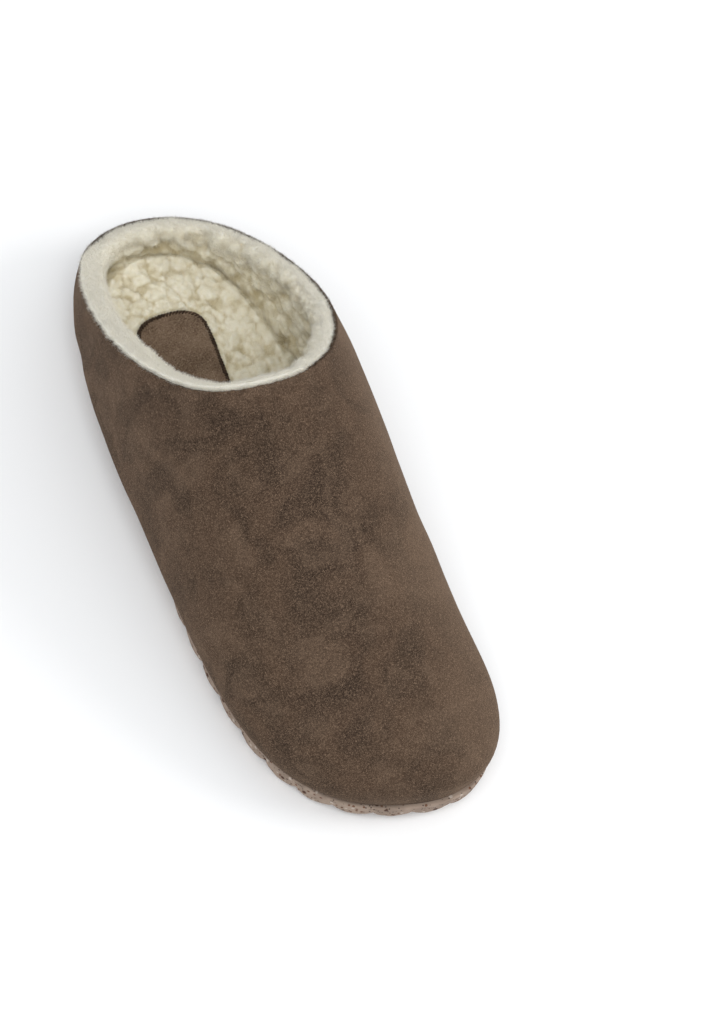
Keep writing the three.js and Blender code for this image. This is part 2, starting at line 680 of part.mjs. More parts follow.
// Notches between the lugs, evenly round the edge of the outsole.
const soleRing = soleRows[2];
const ringLengths = [0];
soleRing.forEach((p, c) => ringLengths.push(ringLengths[c] + p.distanceTo(soleRing[around(c + 1)])));
const lugCount = Math.round(ringLengths[count] / LUG_PITCH);
const notches = [];
for (let k = 0; k < lugCount; k += 1) {
  const goal = ((k + 0.5) / lugCount) * ringLengths[count];
  let c = 0;
  while (ringLengths[c + 1] < goal) c += 1;
  const t = (goal - ringLengths[c]) / (ringLengths[c + 1] - ringLengths[c]);
  const p = soleRing[c].clone().lerp(soleRing[around(c + 1)], t);
  const n = columns[c].normal.clone().lerp(columns[around(c + 1)].normal, t).normalize();
  for (const [half, height] of [
    [0.16 * LUG_PITCH, LUG_NOTCH],
    [0.36 * LUG_PITCH, LUG_SCALLOP],
  ]) {
    const low = -SOLE_THICKNESS - height;
    const corner = (out, across, rise) =>
      place(new THREE.Vector3(p.x + n.x * out - n.y * across, p.y + n.y * out + n.x * across, rise));
    notches.push(
      hull([
        corner(2, 2 * half, low),
        corner(2, -2 * half, low),
        corner(2, 0, -SOLE_THICKNESS + height),
        corner(-LUG_RUN, 0, low),
      ]),
    );
  }
}
const outsole = soleSolid.manifold().subtract(wasm.Manifold.union(notches));

const object = new THREE.Group();
object.add(
  solidMesh("outsole", outsole, 0xb5a08f, 0.9),
  solidMesh("upper", upper, 0x5c4c3f, 0.95),
  solidMesh("lining", lining, 0xd2c9ac, 1),
  solidMesh("insole", insole, 0xa89a80, 0.9),
  solidMesh("insole_fleece", sock, 0xcdc4a6, 1),
);
const padSuede = new THREE.MeshStandardMaterial({ color: 0x5a4a3c, roughness: 0.95, metalness: 0 });
const pad = new THREE.Mesh(padGeometry, padSuede);
pad.name = "heel_pad";
pad.applyMatrix4(padPlace);
object.add(pad);

// The model stands on its box's middle.
object.updateMatrixWorld(true);
const box = new THREE.Box3().setFromObject(object, true);
object.position.set(-(box.min.x + box.max.x) / 2, -(box.min.y + box.max.y) / 2, -box.min.z);

export default object;
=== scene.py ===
import itertools
import math

import bpy
import numpy as np
from mathutils import Matrix, Vector


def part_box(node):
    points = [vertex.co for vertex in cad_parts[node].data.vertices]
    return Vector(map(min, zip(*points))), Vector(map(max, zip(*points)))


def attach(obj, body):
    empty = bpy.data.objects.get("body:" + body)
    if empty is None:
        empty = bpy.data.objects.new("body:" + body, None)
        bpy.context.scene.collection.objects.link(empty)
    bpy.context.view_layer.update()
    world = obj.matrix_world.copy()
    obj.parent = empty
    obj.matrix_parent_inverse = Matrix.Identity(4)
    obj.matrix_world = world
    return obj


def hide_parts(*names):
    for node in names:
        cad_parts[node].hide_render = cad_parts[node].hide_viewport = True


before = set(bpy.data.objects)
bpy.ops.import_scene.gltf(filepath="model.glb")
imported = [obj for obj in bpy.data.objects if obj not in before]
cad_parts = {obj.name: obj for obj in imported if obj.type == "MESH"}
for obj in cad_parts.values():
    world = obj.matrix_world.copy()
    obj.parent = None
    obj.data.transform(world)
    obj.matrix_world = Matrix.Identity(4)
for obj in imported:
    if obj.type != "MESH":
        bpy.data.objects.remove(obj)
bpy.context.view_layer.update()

# Sizes of the shoe in millimetres, with the shares and powers that shape it, as in its solids.
LENGTH = 291.0
BALL_WIDTH = 114.0
INSTEP_RISE = 83.0
BULGE_RISE = 16.5
WAIST_TUCK = 11.7
SOLE_THICKNESS = 8.0
SOLE_PROUD = 2.0
SOLE_ROUND = 1.1
TOE_SPRING = 4.0
WAIST_RISE = 1.0
LUG_PITCH = 17.0
LUG_NOTCH = 3.0
LUG_RUN = 8.0
SUEDE_WALL = 1.8
FLEECE_DEPTH = 8.0
COLLAR_ROLL = 3.4
ROLL_POWER = 0.72
INSOLE_THICKNESS = 4.0
SOCK_DEPTH = 6.5
SOCK_DISH = 2.5
SOCK_CREST = 0.6
SOCK_FLAT = 0.55
GAP = 0.3
PAD_LENGTH = 62.0
PAD_WIDTH = 34.0
PAD_FROM_HEEL = 43.0
PAD_ROUND = 13.0
PAD_SIDE = -2.0
PAD_FRONT = 0.74
PAD_CORNER = 6.0
TOE_TIP = 0.162
SPINE_FROM = 0.16
SPINE_TO = 0.8
CROWN_ROUND = 0.25
CROWN_MEDIAL = 1.7
CROWN_LATERAL = 3.2
TURN_POWER = 2.2
FAN_FROM = 0.2
FAN_EVEN = 0.7
FOOT_RISE = INSOLE_THICKNESS + 2 * GAP
SHELL_DEPTH = SUEDE_WALL + GAP

# Sizes of the finer forms that only the scene has, with their shares and powers.
ROLL_OVER_AT = 0.75
ROLL_OVER_WIDTH = 0.62
SCALLOP_RISE = 2.8
NOTCH_WIDTH = 1.7
CURL = 8.6
SMALL_CURL = 4.3
LINING_CURL_RISE = 6.4
LINING_CURL_SUNK = 3.0
SOCK_CURL_RISE = 6.0
SOCK_CURL_SUNK = 1.6
SOCK_ROWS = 60
SOCK_ROW_POWER = 1.15
PAD_SQUARE = 2.6
PAD_SPINE = 14
PAD_STITCH_INSET = 0.9
HAIR_SUNK = 0.12
FRONT_OUTER = np.array([-0.756, 0.654])  # plan direction of the collar's front outer side
MM = 0.001
METRE = 1000

# Widest line: share of LENGTH from the heel, medial and lateral shares of BALL_WIDTH.
OUTLINE = [
    (0.03, 0.234, -0.231),
    (0.1, 0.389, -0.347),
    (0.22, 0.481, -0.433),
    (0.36, 0.517, -0.474),
    (0.5, 0.502, -0.489),
    (0.64, 0.493, -0.492),
    (0.77, 0.496, -0.472),
    (0.88, 0.494, -0.387),
    (0.955, 0.416, -0.213),
    (0.99, 0.3, -0.003),
]

# Share of LENGTH, then ridge, collar, bulge, tuck, pile and proud as shares of their own sizes.
PROFILE = [
    (0, 1.33, 0.232, 1, 0.57, 1, 0.3),
    (0.1, 1.304, 0.365, 1, 0.56, 1, 0.3),
    (0.2, 1.26, 0.546, 1, 0.74, 1, 0.3),
    (0.3, 1.19, 0.755, 1, 0.94, 1, 0.3),
    (0.4, 1.096, 0.978, 1, 0.98, 1, 0.3),
    (0.5, 0.973, 1.23, 1, 0.8, 0.95, 0.3),
    (0.6, 0.832, 1.5, 0.96, 0.6, 0.85, 0.3),
    (0.72, 0.636, 1.8, 0.84, 0.52, 0.7, 0.3),
    (0.84, 0.456, 2.1, 0.67, 0.43, 0.6, 0.35),
    (0.92, 0.392, 2.3, 0.55, 0.28, 0.55, 0.5),
    (1, 0.38, 2.5, 0.46, 0.08, 0.55, 1),
]


def table_curve(column, unit):
    """A smooth curve through one column of PROFILE."""
    x = np.array([row[0] for row in PROFILE], float)
    y = np.array([row[column] * unit for row in PROFILE], float)
    gap = np.diff(x)
    rise = np.diff(y) / gap
    inner = (rise[:-1] * gap[1:] + rise[1:] * gap[:-1]) / (gap[:-1] + gap[1:])
    slope = np.r_[rise[0], inner, rise[-1]]

    def curve(distance):
        at = np.asarray(distance, float) / LENGTH
        i = np.clip(np.searchsorted(x, at, side="left") - 1, 0, len(x) - 2)
        t = (np.maximum(at, x[0]) - x[i]) / gap[i]
        s = 1 - t
        low = (1 + 2 * t) * s * s * y[i] + t * s * s * gap[i] * slope[i]
        return low + t * t * (3 - 2 * t) * y[i + 1] - t * t * s * gap[i] * slope[i + 1]

    return curve


ridge_rise = table_curve(1, INSTEP_RISE)
collar_rise = table_curve(2, INSTEP_RISE)
bulge_at = table_curve(3, BULGE_RISE)
tuck_at = table_curve(4, WAIST_TUCK)
pile_at = table_curve(5, FLEECE_DEPTH)
proud_at = table_curve(6, SOLE_PROUD)


def lift_at(distance):
    """Toe spring and waist."""
    at = np.asarray(distance, float) / LENGTH
    toe = np.maximum(0, (at - 0.78) / 0.22)
    waist = np.clip((at - 0.38) / 0.2, 0, 1)
    return TOE_SPRING * toe**2 + WAIST_RISE * np.sin(np.pi * waist) ** 2


def ease(value, low, high):
    """0 below low, 1 above high, smooth between them."""
    t = np.clip((value - low) / (high - low), 0, 1)
    return t * t * (3 - 2 * t)


def norms(v):
    return np.linalg.norm(v, axis=1)


def raised(p, rise):
    """Plan points with their rise above the outsole."""
    return np.column_stack([p, np.broadcast_to(rise, len(p))])


def unit(v):
    return v / np.maximum(np.linalg.norm(v, axis=-1, keepdims=True), 1e-12)


def closed_curve(knots, steps):
    """A closed smooth curve through plan points, as a fine polyline."""
    n = len(knots)
    step = np.sqrt(norms(np.roll(knots, -1, 0) - knots))
    slopes = np.zeros_like(knots)
    for _ in range(60):  # until the slopes settle
        for i in range(n):
            a, b = step[i - 1], step[i]
            before = (knots[i] - knots[i - 1]) / a
            after = (knots[(i + 1) % n] - knots[i]) / b
            others = b * slopes[i - 1] + a * slopes[(i + 1) % n]
            slopes[i] = (3 * (b * before + a * after) - others) / (2 * (a + b))
    t = (np.arange(steps) / steps)[None, :, None]
    s = 1 - t
    k0, k1 = knots[:, None], np.roll(knots, -1, 0)[:, None]
    s0, s1 = (value[:, None] * step[:, None, None] for value in (slopes, np.roll(slopes, -1, 0)))
    curve = (1 + 2 * t) * s * s * k0 + t * s * s * s0 + t * t * (3 - 2 * t) * k1 - t * t * s * s1
    return curve.reshape(-1, 2)


# Plan points hold the side in x and the distance from the heel in y.
plan_knots = [(0, 0)] + [(medial, along) for along, medial, lateral in OUTLINE] + [(TOE_TIP, 1)]
plan_knots += [(lateral, along) for along, medial, lateral in OUTLINE[::-1]]
edge = closed_curve(np.array(plan_knots, float) * (BALL_WIDTH, LENGTH), 24)
edge_next = np.roll(edge, -1, 0)
edge_run = edge_next - edge
edge_tangent = edge_next - np.roll(edge, 1, 0)
edge_length = np.r_[0, np.cumsum(norms(edge_run))]
heel_end = np.array([0, SPINE_FROM * LENGTH])
toe_end = np.array([0, SPINE_TO * LENGTH])


def spine_foot(distance):
    """Points of the ridge line in plan that distances from the heel belong to."""
    y = np.clip(distance, heel_end[1], toe_end[1])
    return np.stack([np.zeros_like(y), y], -1)


def reach_edge(start, direction):
    """Where lines from points inside meet the outline: distance, place, normal, length round."""
    far, at, normal, around = [], [], [], []
    batch = 3000
    for k in range(0, len(start), batch):
        p, d = start[k : k + batch, None], direction[k : k + batch, None]
        cross = d[..., 0] * edge_run[:, 1] - d[..., 1] * edge_run[:, 0]
        off = edge[None] - p
        with np.errstate(divide="ignore", invalid="ignore"):
            f = (off[..., 0] * edge_run[:, 1] - off[..., 1] * edge_run[:, 0]) / cross
            t = (off[..., 0] * d[..., 1] - off[..., 1] * d[..., 0]) / cross
        bad = ~((f > 0) & (t >= -1e-9) & (t <= 1 + 1e-9))
        i = np.where(bad, np.inf, f).argmin(1)
        rows = np.arange(len(i))
        part = t[rows, i][:, None]
        tangent = unit(edge_tangent[i] * (1 - part) + np.roll(edge_tangent, -1, 0)[i] * part)
        far.append(f[rows, i])
        at.append(edge[i] + edge_run[i] * part)
        normal.append(np.stack([tangent[:, 1], -tangent[:, 0]], -1))
        around.append(edge_length[i] + part[:, 0] * norms(edge_run[i]))
    return [np.concatenate(part) for part in (far, at, normal, around)]


def crown_span(power):
    base = CROWN_ROUND**power
    return base, (1 + CROWN_ROUND**2) ** (power / 2) - base


def crown_fall(out, power):
    """What is left of the ridge's height at a share of the way out."""
    base, span = crown_span(power)
    return np.sqrt(np.maximum(0, 1 - ((out**2 + CROWN_ROUND**2) ** (power / 2) - base) / span))


def crown_reach(height, power):
    """The share of the way out at which that height is left."""
    base, span = crown_span(power)
    w = 1 - np.minimum(1, height) ** 2
    return np.sqrt(np.maximum(0, (w * span + base) ** (2 / power) - CROWN_ROUND**2))


def crowned(form, value, away):
    """crown_fall or crown_reach, blended from the lateral to the medial side."""
    share = ease(away[:, 0] / np.maximum(norms(away), 1e-9), -0.9, 0.9)
    return form(value, CROWN_LATERAL) * (1 - share) + form(value, CROWN_MEDIAL) * share


def top_rise(p):
    """Height of the last's top above the outsole at plan points."""
    foot = spine_foot(p[:, 1])
    away = p - foot
    length = norms(away)
    away[length < 1e-6] = (1, 0)
    out = np.minimum(1, length / reach_edge(foot, unit(away))[0])
    bulge = bulge_at(p[:, 1])
    return bulge + (ridge_rise(p[:, 1]) - bulge) * crowned(crown_fall, out, away)


def collar_point(foot, rim):
    """Collar points on the lines from ridge points to the outline."""
    away = rim - foot
    p = rim
    for _ in range(12):
        bulge = bulge_at(p[:, 1])
        height = (collar_rise(p[:, 1]) - bulge) / (ridge_rise(p[:, 1]) - bulge)
        p = foot + away * crowned(crown_reach, height, away)[:, None]
    return p


def throat_distance():
    low, high = 0.3 * LENGTH, 0.5 * LENGTH
    for _ in range(40):
        middle = (low + high) / 2
        low, high = (middle, high) if collar_rise(middle) < ridge_rise(middle) else (low, middle)
    return high


THROAT = throat_distance()


class Columns:
    """Lines round the last, each from a ridge point out to the widest line, with its collar point."""

    def __init__(self, spine_steps, toe_steps, heel_steps):
        feet, ways, sides = [], [], []
        for side in (1, -1):
            run = np.arange(spine_steps + 1) / spine_steps
            for t in run if side > 0 else run[::-1]:
                feet.append(heel_end + (toe_end - heel_end) * t)
                ways.append((side, 0.0))
                sides.append(side)
            fan = toe_steps if side > 0 else heel_steps
            for k in range(1, fan):
                turn = (0 if side > 0 else math.pi) + math.pi * k / fan
                feet.append(toe_end if side > 0 else heel_end)
                ways.append((math.cos(turn), math.sin(turn)))
                sides.append(side if math.cos(turn) >= -1e-9 else -side)
        self.foot = np.array(feet)
        self.side = np.array(sides)
        _, self.rim, self.normal, self.round = reach_edge(self.foot, np.array(ways))
        self.count = len(feet)
        self.collar = collar_point(self.foot, self.rim)
        start = FAN_FROM * LENGTH
        toe_round = reach_edge(toe_end[None], np.array([[0.0, 1.0]]))[3][0]
        for side in (1, -1):
            away = THROAT + (start - THROAT) * np.linspace(0, 1, 81) ** 2
            foot = spine_foot(away)
            line = collar_point(foot, reach_edge(foot, np.tile([float(side), 0.0], (len(foot), 1)))[1])
            length = np.r_[0, np.cumsum(norms(np.diff(line, axis=0)))]
            fan_round = reach_edge(foot[-1:], np.array([[float(side), 0.0]]))[3][0]
            here = (self.side == side) & (self.rim[:, 1] > start)
            share = (self.round[here] - toe_round) / (fan_round - toe_round)
            goal = np.clip(FAN_EVEN * share + (1 - FAN_EVEN) * share**2, 0, 1) * length[-1]
            self.collar[here] = np.stack([np.interp(goal, length, line[:, i]) for i in (0, 1)], -1)

    def turned_in(self, rise):
        """How far the side has turned in from the widest line at a rise above the outsole."""
        down = np.maximum(0, 1 - rise / bulge_at(self.rim[:, 1]))
        return tuck_at(self.rim[:, 1]) * down**TURN_POWER

    def side_point(self, inset, rise):
        p = self.rim - self.normal * np.reshape(inset, (-1, 1))
        return raised(p, rise)


class Skin:
    """Rows of points of the upper's outside, from its turned in foot up to the collar."""

    def __init__(self, columns, side_rows, top_rows):
        self.columns = columns
        bulge = bulge_at(columns.rim[:, 1])
        self.rises = [np.full(columns.count, GAP)]
        for k in range(side_rows + 1):
            self.rises.append(FOOT_RISE + (bulge - FOOT_RISE) * k / side_rows)
        rows = [columns.side_point(columns.turned_in(rise), rise) for rise in self.rises]
        self.bulge_row = len(rows) - 1
        for k in range(1, top_rows + 1):
            share = 1 - math.cos(math.pi / 2 * k / top_rows)
            p = columns.rim * (1 - share) + columns.collar * share
            rows.append(raised(p, top_rise(p)))
        self.points = np.array(rows)
        self.last = len(rows) - 1
        along = np.roll(self.points, -1, 1) - np.roll(self.points, 1, 1)
        up = np.gradient(self.points, axis=0)
        self.normals = unit(np.cross(along, up))

    def inward(self, row, depth):
        """One row moved inwards; the two lowest rows keep their height."""
        n = self.normals[row]
        depth = np.reshape(depth, (-1, 1))
        if row > 1:
            return self.points[row] - n * depth
        flat = np.linalg.norm(n[:, :2], axis=1, keepdims=True)
        return self.points[row] - np.column_stack([n[:, :2] / flat * depth / flat, np.zeros(len(n))])

    def fleece(self, row):
        """Inside of the fleece: it hangs nearly straight below the widest line."""
        depth = SHELL_DEPTH + pile_at(self.points[row][:, 1])
        if row > self.bulge_row:
            return self.inward(row, depth)
        rise = self.rises[row]
        return self.columns.side_point(depth + 0.5 * self.columns.turned_in(rise), rise)

    def roll(self, turn, over):
        """Fleece over the collar, over moving it out; turn runs from 0 behind the suede to pi inside."""
        n = self.normals[self.last]
        edge_row = self.points[self.last]
        up = edge_row - self.points[self.last - 1]
        up = unit(up - n * (up * n).sum(1, keepdims=True))
        depth = SHELL_DEPTH + pile_at(edge_row[:, 1]) * (1 - math.cos(turn)) / 2
        depth = depth - over * math.exp(-(((turn - ROLL_OVER_AT) / ROLL_OVER_WIDTH) ** 2))
        return edge_row - n * depth[:, None] + up * COLLAR_ROLL * math.sin(turn) ** ROLL_POWER


def place(p):
    """Plan points with their rise, in the model's frame, in millimetres."""
    rise = p[..., 2] + SOLE_THICKNESS + lift_at(p[..., 1])
    return np.stack([p[..., 0], LENGTH / 2 - p[..., 1], rise], -1) + SHIFT


def pad_shift():
    """From the drawing's frame to the model's, read from where the heel pad is."""
    low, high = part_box("heel_pad")
    back = LENGTH / 2 - PAD_FROM_HEEL
    return np.array([(low.x + high.x) / 2 * METRE - PAD_SIDE, high.y * METRE - back, 0])


SHIFT = pad_shift()


def hashed(cell, seed):
    """A number from 0 to 1 for each cell, the same at every run."""
    value = np.sin(cell @ np.array([127.1, 311.7, 74.7]) + seed * 17.13) * 43758.5453
    return value - np.floor(value)


def cells(p, size, seed):
    """Distances to the nearest and second nearest seed of irregular cells, in cell sizes."""
    q = p / size
    base = np.floor(q)
    near = np.full(len(p), 9.0)
    second = near.copy()
    for offset in itertools.product((-1, 0, 1), repeat=3):
        cell = base + offset
        spot = cell + np.stack([hashed(cell, seed + k) for k in range(3)], -1)
        d = norms(spot - q)
        second = np.where(d < near, near, np.minimum(second, d))
        near = np.minimum(near, d)
    return near, second


def cloud(p, size, seed):
    """Smooth noise from -1 to 1."""
    q = p / size
    base = np.floor(q)
    t = q - base
    t = t * t * (3 - 2 * t)
    total = np.zeros(len(p))
    for corner in itertools.product((0, 1), repeat=3):
        weight = np.prod(np.where(np.array(corner) == 1, t, 1 - t), axis=1)
        total += weight * hashed(base + corner, seed)
    return 2 * total - 1


def clouds(p, size, seed):
    return np.stack([cloud(p, size, seed + 5 * k) for k in range(3)], -1)


def ripples(p, *waves):
    """A sum of smooth noises, each with its height and size in millimetres and its seed."""
    return sum(height * cloud(p, size, seed) for height, size, seed in waves)


def grid_mesh(rows, loop, extra=None):
    """Points, triangles and values of a grid that closes round its columns, and over its rows if loop.

    Doubles are merged, slivers are dropped and the faces look outwards.
    """
    row_count, count = rows.shape[:2]
    r = np.arange(row_count if loop else row_count - 1)[:, None]
    c = np.arange(count)[None]
    here, after, beside = r * count, (r + 1) % row_count * count, (c + 1) % count
    a, b, d, e = here + c, here + beside, after + c, after + beside
    faces = np.concatenate([np.stack(three, -1).reshape(-1, 3) for three in ((a, b, e), (a, e, d))])
    points = rows.reshape(-1, 3)
    key = np.round(points * 1e4).astype(np.int64)  # equal to 0.0001 mm
    _, first, index = np.unique(key, axis=0, return_index=True, return_inverse=True)
    faces = index.reshape(-1)[faces]
    keep = (faces[:, 0] != faces[:, 1]) & (faces[:, 1] != faces[:, 2]) & (faces[:, 0] != faces[:, 2])
    faces = faces[keep]
    points = points[first]
    a, b, c = (points[faces[:, k]] for k in range(3))
    if (a * np.cross(b, c)).sum() < 0:
        faces = faces[:, ::-1]
    return points, faces, {name: value.ravel()[first] for name, value in (extra or {}).items()}


def vertex_normals(points, faces):
    a, b, c = (points[faces[:, k]] for k in range(3))
    n = np.cross(b - a, c - a)
    total = np.zeros_like(points)
    for k in range(3):
        for i in range(3):
            total[:, i] += np.bincount(faces[:, k], n[:, i], len(points))
    return unit(total)


def linked(name, data):
    """A new object in the scene."""
    made = bpy.data.objects.new(name, data)
    bpy.context.scene.collection.objects.link(made)
    return made


def mesh_object(name, points, faces, extra=None):
    """A smooth shaded object from points in millimetres."""
    mesh = bpy.data.meshes.new(name)
    mesh.vertices.add(len(points))
    mesh.vertices.foreach_set("co", (points * MM).astype(np.float32).ravel())
    mesh.loops.add(faces.size)
    mesh.loops.foreach_set("vertex_index", faces.astype(np.int32).ravel())
    mesh.polygons.add(len(faces))
    mesh.polygons.foreach_set("loop_start", np.arange(0, faces.size, 3, dtype=np.int32))
    mesh.polygons.foreach_set("use_smooth", np.ones(len(faces), bool))
    mesh.update(calc_edges=True)
    mesh.validate()
    for key, value in (extra or {}).items():
        layer = mesh.attributes.new(key, "FLOAT", "POINT")
        layer.data.foreach_set("value", value.astype(np.float32))
    return linked(name, mesh)


class Value:
    """A socket of a node; sums, differences and products add their Math nodes."""

    def __init__(self, tree, socket):
        self.tree = tree
        self.socket = socket

    def math(self, operation, *others):
        return self.tree.add("ShaderNodeMath", {"operation": operation}, [self, *others])

    def __add__(self, other):
        return self.math("ADD", other)

    def __sub__(self, other):
        return self.math("SUBTRACT", other)

    def __rsub__(self, other):
        return (self * -1).math("ADD", other)

    def __mul__(self, other):
        return self.math("MULTIPLY", other)

    def clamp(self):
        return self.tree.add("ShaderNodeClamp", {}, [self, 0.0, 1.0])

    def ease(self, low, high):
        """0 below low and 1 above high, smooth between; low may be the larger."""
        inputs = {"Value": self, "From Min": low, "From Max": high}
        return self.tree.add("ShaderNodeMapRange", {"interpolation_type": "SMOOTHSTEP"}, inputs)


class Tree:
    """A node tree whose nodes all come from add()."""

    def __init__(self, tree):
        self.tree = tree
        self.where = None

    def add(self, kind, settings=None, inputs=None, output=0):
        node = self.tree.nodes.new(kind)
        for key, value in (settings or {}).items():
            setattr(node, key, value)
        pairs = inputs.items() if isinstance(inputs, dict) else enumerate(inputs or [])
        for key, value in pairs:
            self.feed(node.inputs[key], value)
        return Value(self, node.outputs[output]) if len(node.outputs) else node

    def feed(self, socket, value):
        if isinstance(value, Value):
            self.tree.links.new(value.socket, socket)
        elif isinstance(value, (tuple, list)) and len(value) == 3 and socket.type == "RGBA":
            socket.default_value = (*value, 1)
        elif value is not None:
            socket.default_value = value

    def mix(self, factor, first, second):
        """Colours first to second."""
        inputs = {0: factor, 6: first, 7: second}
        return self.add("ShaderNodeMix", {"data_type": "RGBA"}, inputs, 2)

    def noise(self, scale, detail=2.0, roughness=0.5, distortion=0.0):
        inputs = {"Vector": self.where, "Scale": scale, "Detail": detail, "Roughness": roughness}
        return self.add("ShaderNodeTexNoise", {}, {**inputs, "Distortion": distortion})

    def bump(self, strength, distance, height):
        inputs = {"Strength": strength, "Distance": distance, "Height": height}
        return self.add("ShaderNodeBump", {}, inputs)

    def vector(self, **parts):
        """A vector of the given X, Y and Z; the others are 0."""
        return self.add("ShaderNodeCombineXYZ", {}, parts)

    def attribute(self, name):
        return self.add("ShaderNodeAttribute", {"attribute_name": name}, {}, 2)


def srgb(red, green, blue):
    """Linear colour of 0 to 255 screen numbers."""
    parts = [value / 255 for value in (red, green, blue)]
    return tuple(v / 12.92 if v <= 0.04045 else ((v + 0.055) / 1.055) ** 2.4 for v in parts)


def material(name, build):
    """A material; build(tree) adds its nodes and gives the inputs of its shader."""
    made = bpy.data.materials.new(name)
    made.use_nodes = True
    made.node_tree.nodes.clear()
    tree = Tree(made.node_tree)
    tree.where = tree.add("ShaderNodeTexCoord", output=3)
    shader = tree.add("ShaderNodeBsdfPrincipled", {}, build(tree))
    tree.add("ShaderNodeOutputMaterial", {}, {"Surface": shader})
    return made


def suede_finish(dark, mid, light, cloud_scale=34.0):
    """Napped suede: patches, flecks of nap, painted light that makes the medial side lighter, and a darker
    cut edge.
    """

    def build(tree):
        cut = tree.attribute("cut")
        painted_medial_light = tree.attribute("painted_medial_light")
        patch = tree.noise(cloud_scale, 2.0, 0.5, 1.2)
        worn = tree.noise(58.0, 2.0, 0.5, 1.0)
        smudge = tree.noise(105.0, 4.0, 0.65, 0.5)
        brush = tree.noise(420.0, 3.0, 0.7, 0.6)
        nap = tree.noise(1500.0, 2.0, 0.8)
        fleck = tree.noise(2400.0, 1.0, 0.5, 2.0)
        colour = tree.mix(patch.ease(0.34, 0.62) * 0.8 + smudge.ease(0.36, 0.66) * 0.2, dark, mid)
        for share, layer in (
            (worn.ease(0.48, 0.68) * 0.26, light),
            # Painted light: the medial side is lightened as if lit from that side.
            (painted_medial_light.clamp() * 0.46, light),
            (brush.ease(0.5, 0.68) * 0.14, light),
            (nap.ease(0.52, 0.64) * 0.42, light),
            (fleck.ease(0.58, 0.65) * 0.75, tuple(1.7 * part for part in light)),
            (nap.ease(0.48, 0.36) * 0.34, tuple(0.45 * part for part in dark)),
            (cut.clamp() * 0.35, srgb(58, 45, 35)),
        ):
            colour = tree.mix(share, colour, layer)
        return {
            "Base Color": colour,
            "Roughness": 0.95,
            "Specular IOR Level": 0.12,
            "Sheen Weight": 0.25,
            "Sheen Roughness": 0.5,
            "Sheen Tint": (*srgb(150, 128, 108), 1),
            "Normal": tree.bump(0.6, 0.0006, nap * 0.6 + brush * 0.6 + smudge * 0.7),
        }

    return build


def wool_finish(tree):
    """Cream curls with painted shade, darker and straw coloured in the hollows and crevices; the shorn rim
    is whiter and smoother.
    """
    hollow_shade = tree.attribute("hollow_shade")
    shorn = tree.attribute("shorn")
    tuft = tree.noise(260.0, 3.0, 0.6, 0.8)
    fibre = tree.noise(1700.0, 3.0, 0.7, 1.6)
    curl = tree.mix(tuft.ease(0.3, 0.7), srgb(236, 229, 206), srgb(248, 243, 226))
    # Painted shade: the hollows and crevices between curls turn darker and straw coloured.
    curl = tree.mix(hollow_shade.ease(0.05, 0.8) * 0.72, curl, srgb(192, 175, 128))
    rim = tree.mix(fibre.ease(0.35, 0.65), srgb(222, 218, 205), srgb(236, 232, 220))
    colour = tree.mix(shorn.clamp(), curl, rim)
    return {
        "Base Color": colour,
        "Roughness": 0.95,
        "Specular IOR Level": 0.1,
        "Sheen Weight": 0.08,
        "Subsurface Weight": 0.35,
        "Subsurface Radius": (1.0, 0.9, 0.7),
        "Subsurface Scale": 0.004,
        "Normal": tree.bump(0.6, 0.0006, tuft * (1 - shorn.clamp()) * 0.6 + fibre * 0.6),
    }


def fibre_finish(tree):
    """The wool's hairs, with painted shade: yellower in the hollows."""
    shorn = tree.attribute("shorn")
    hollow_shade = tree.attribute("hollow_shade")
    tone = tree.noise(90.0, 2.0)
    curl = tree.mix(tone.ease(0.3, 0.7), srgb(242, 236, 215), srgb(253, 249, 235))
    # Painted shade on the hairs that grow in the hollows.
    curl = tree.mix(hollow_shade.ease(0.05, 0.8) * 0.5, curl, srgb(214, 199, 157))
    colour = tree.mix(shorn.clamp(), curl, srgb(243, 239, 227))
    return {"Base Color": colour, "Roughness": 0.9, "Specular IOR Level": 0.15}


def tuft_finish(tree):
    """Loose suede fibres at the cut edge."""
    tone = tree.noise(400.0, 2.0)
    colour = tree.mix(tone.ease(0.3, 0.7), srgb(80, 65, 53), srgb(116, 98, 82))
    return {"Base Color": colour, "Roughness": 0.95, "Specular IOR Level": 0.1}


def rubber_finish(tree):
    """Pinkish foamed rubber with brown and rust chips of three sizes, and small pits."""
    tone = tree.noise(160.0, 3.0)
    colour = tree.mix(tone.ease(0.3, 0.7), srgb(140, 123, 110), srgb(158, 140, 126))
    pits = None
    for scale, share, chip in (
        (330.0, 0.2, srgb(78, 54, 42)),
        (560.0, 0.22, srgb(104, 72, 54)),
        (1000.0, 0.2, srgb(58, 44, 37)),
        (420.0, 0.16, srgb(182, 168, 156)),
    ):
        wander = tree.noise(scale * 0.8, 2.0)
        inputs = {"Vector": tree.where, "Scale": scale, "Randomness": 1.0}
        spot, pick = (tree.add("ShaderNodeTexVoronoi", {}, inputs, output) for output in (0, 1))
        chosen = tree.add("ShaderNodeSeparateColor", {}, {"Color": pick}).ease(share + 0.01, share - 0.01)
        mask = (spot + wander * 0.35).ease(0.56, 0.46) * chosen
        colour = tree.mix(mask, colour, chip)
        pits = mask if pits is None else pits + mask
    height = tree.noise(900.0, 3.0) * 0.5 - pits * 0.6
    normal = tree.bump(0.5, 0.0005, height)
    return {"Base Color": colour, "Roughness": 0.85, "Specular IOR Level": 0.25, "Normal": normal}


def board_finish(tree):
    grain = tree.noise(700.0, 4.0, 0.7)
    colour = tree.mix(grain.ease(0.3, 0.7), srgb(140, 120, 92), srgb(176, 156, 124))
    return {"Base Color": colour, "Roughness": 0.9, "Normal": tree.bump(0.3, 0.0004, grain)}


def thread_finish(tree):
    twist = tree.noise(1400.0, 2.0)
    colour = tree.mix(twist.ease(0.3, 0.7), srgb(42, 31, 23), srgb(70, 55, 42))
    return {"Base Color": colour, "Roughness": 0.85, "Specular IOR Level": 0.2}


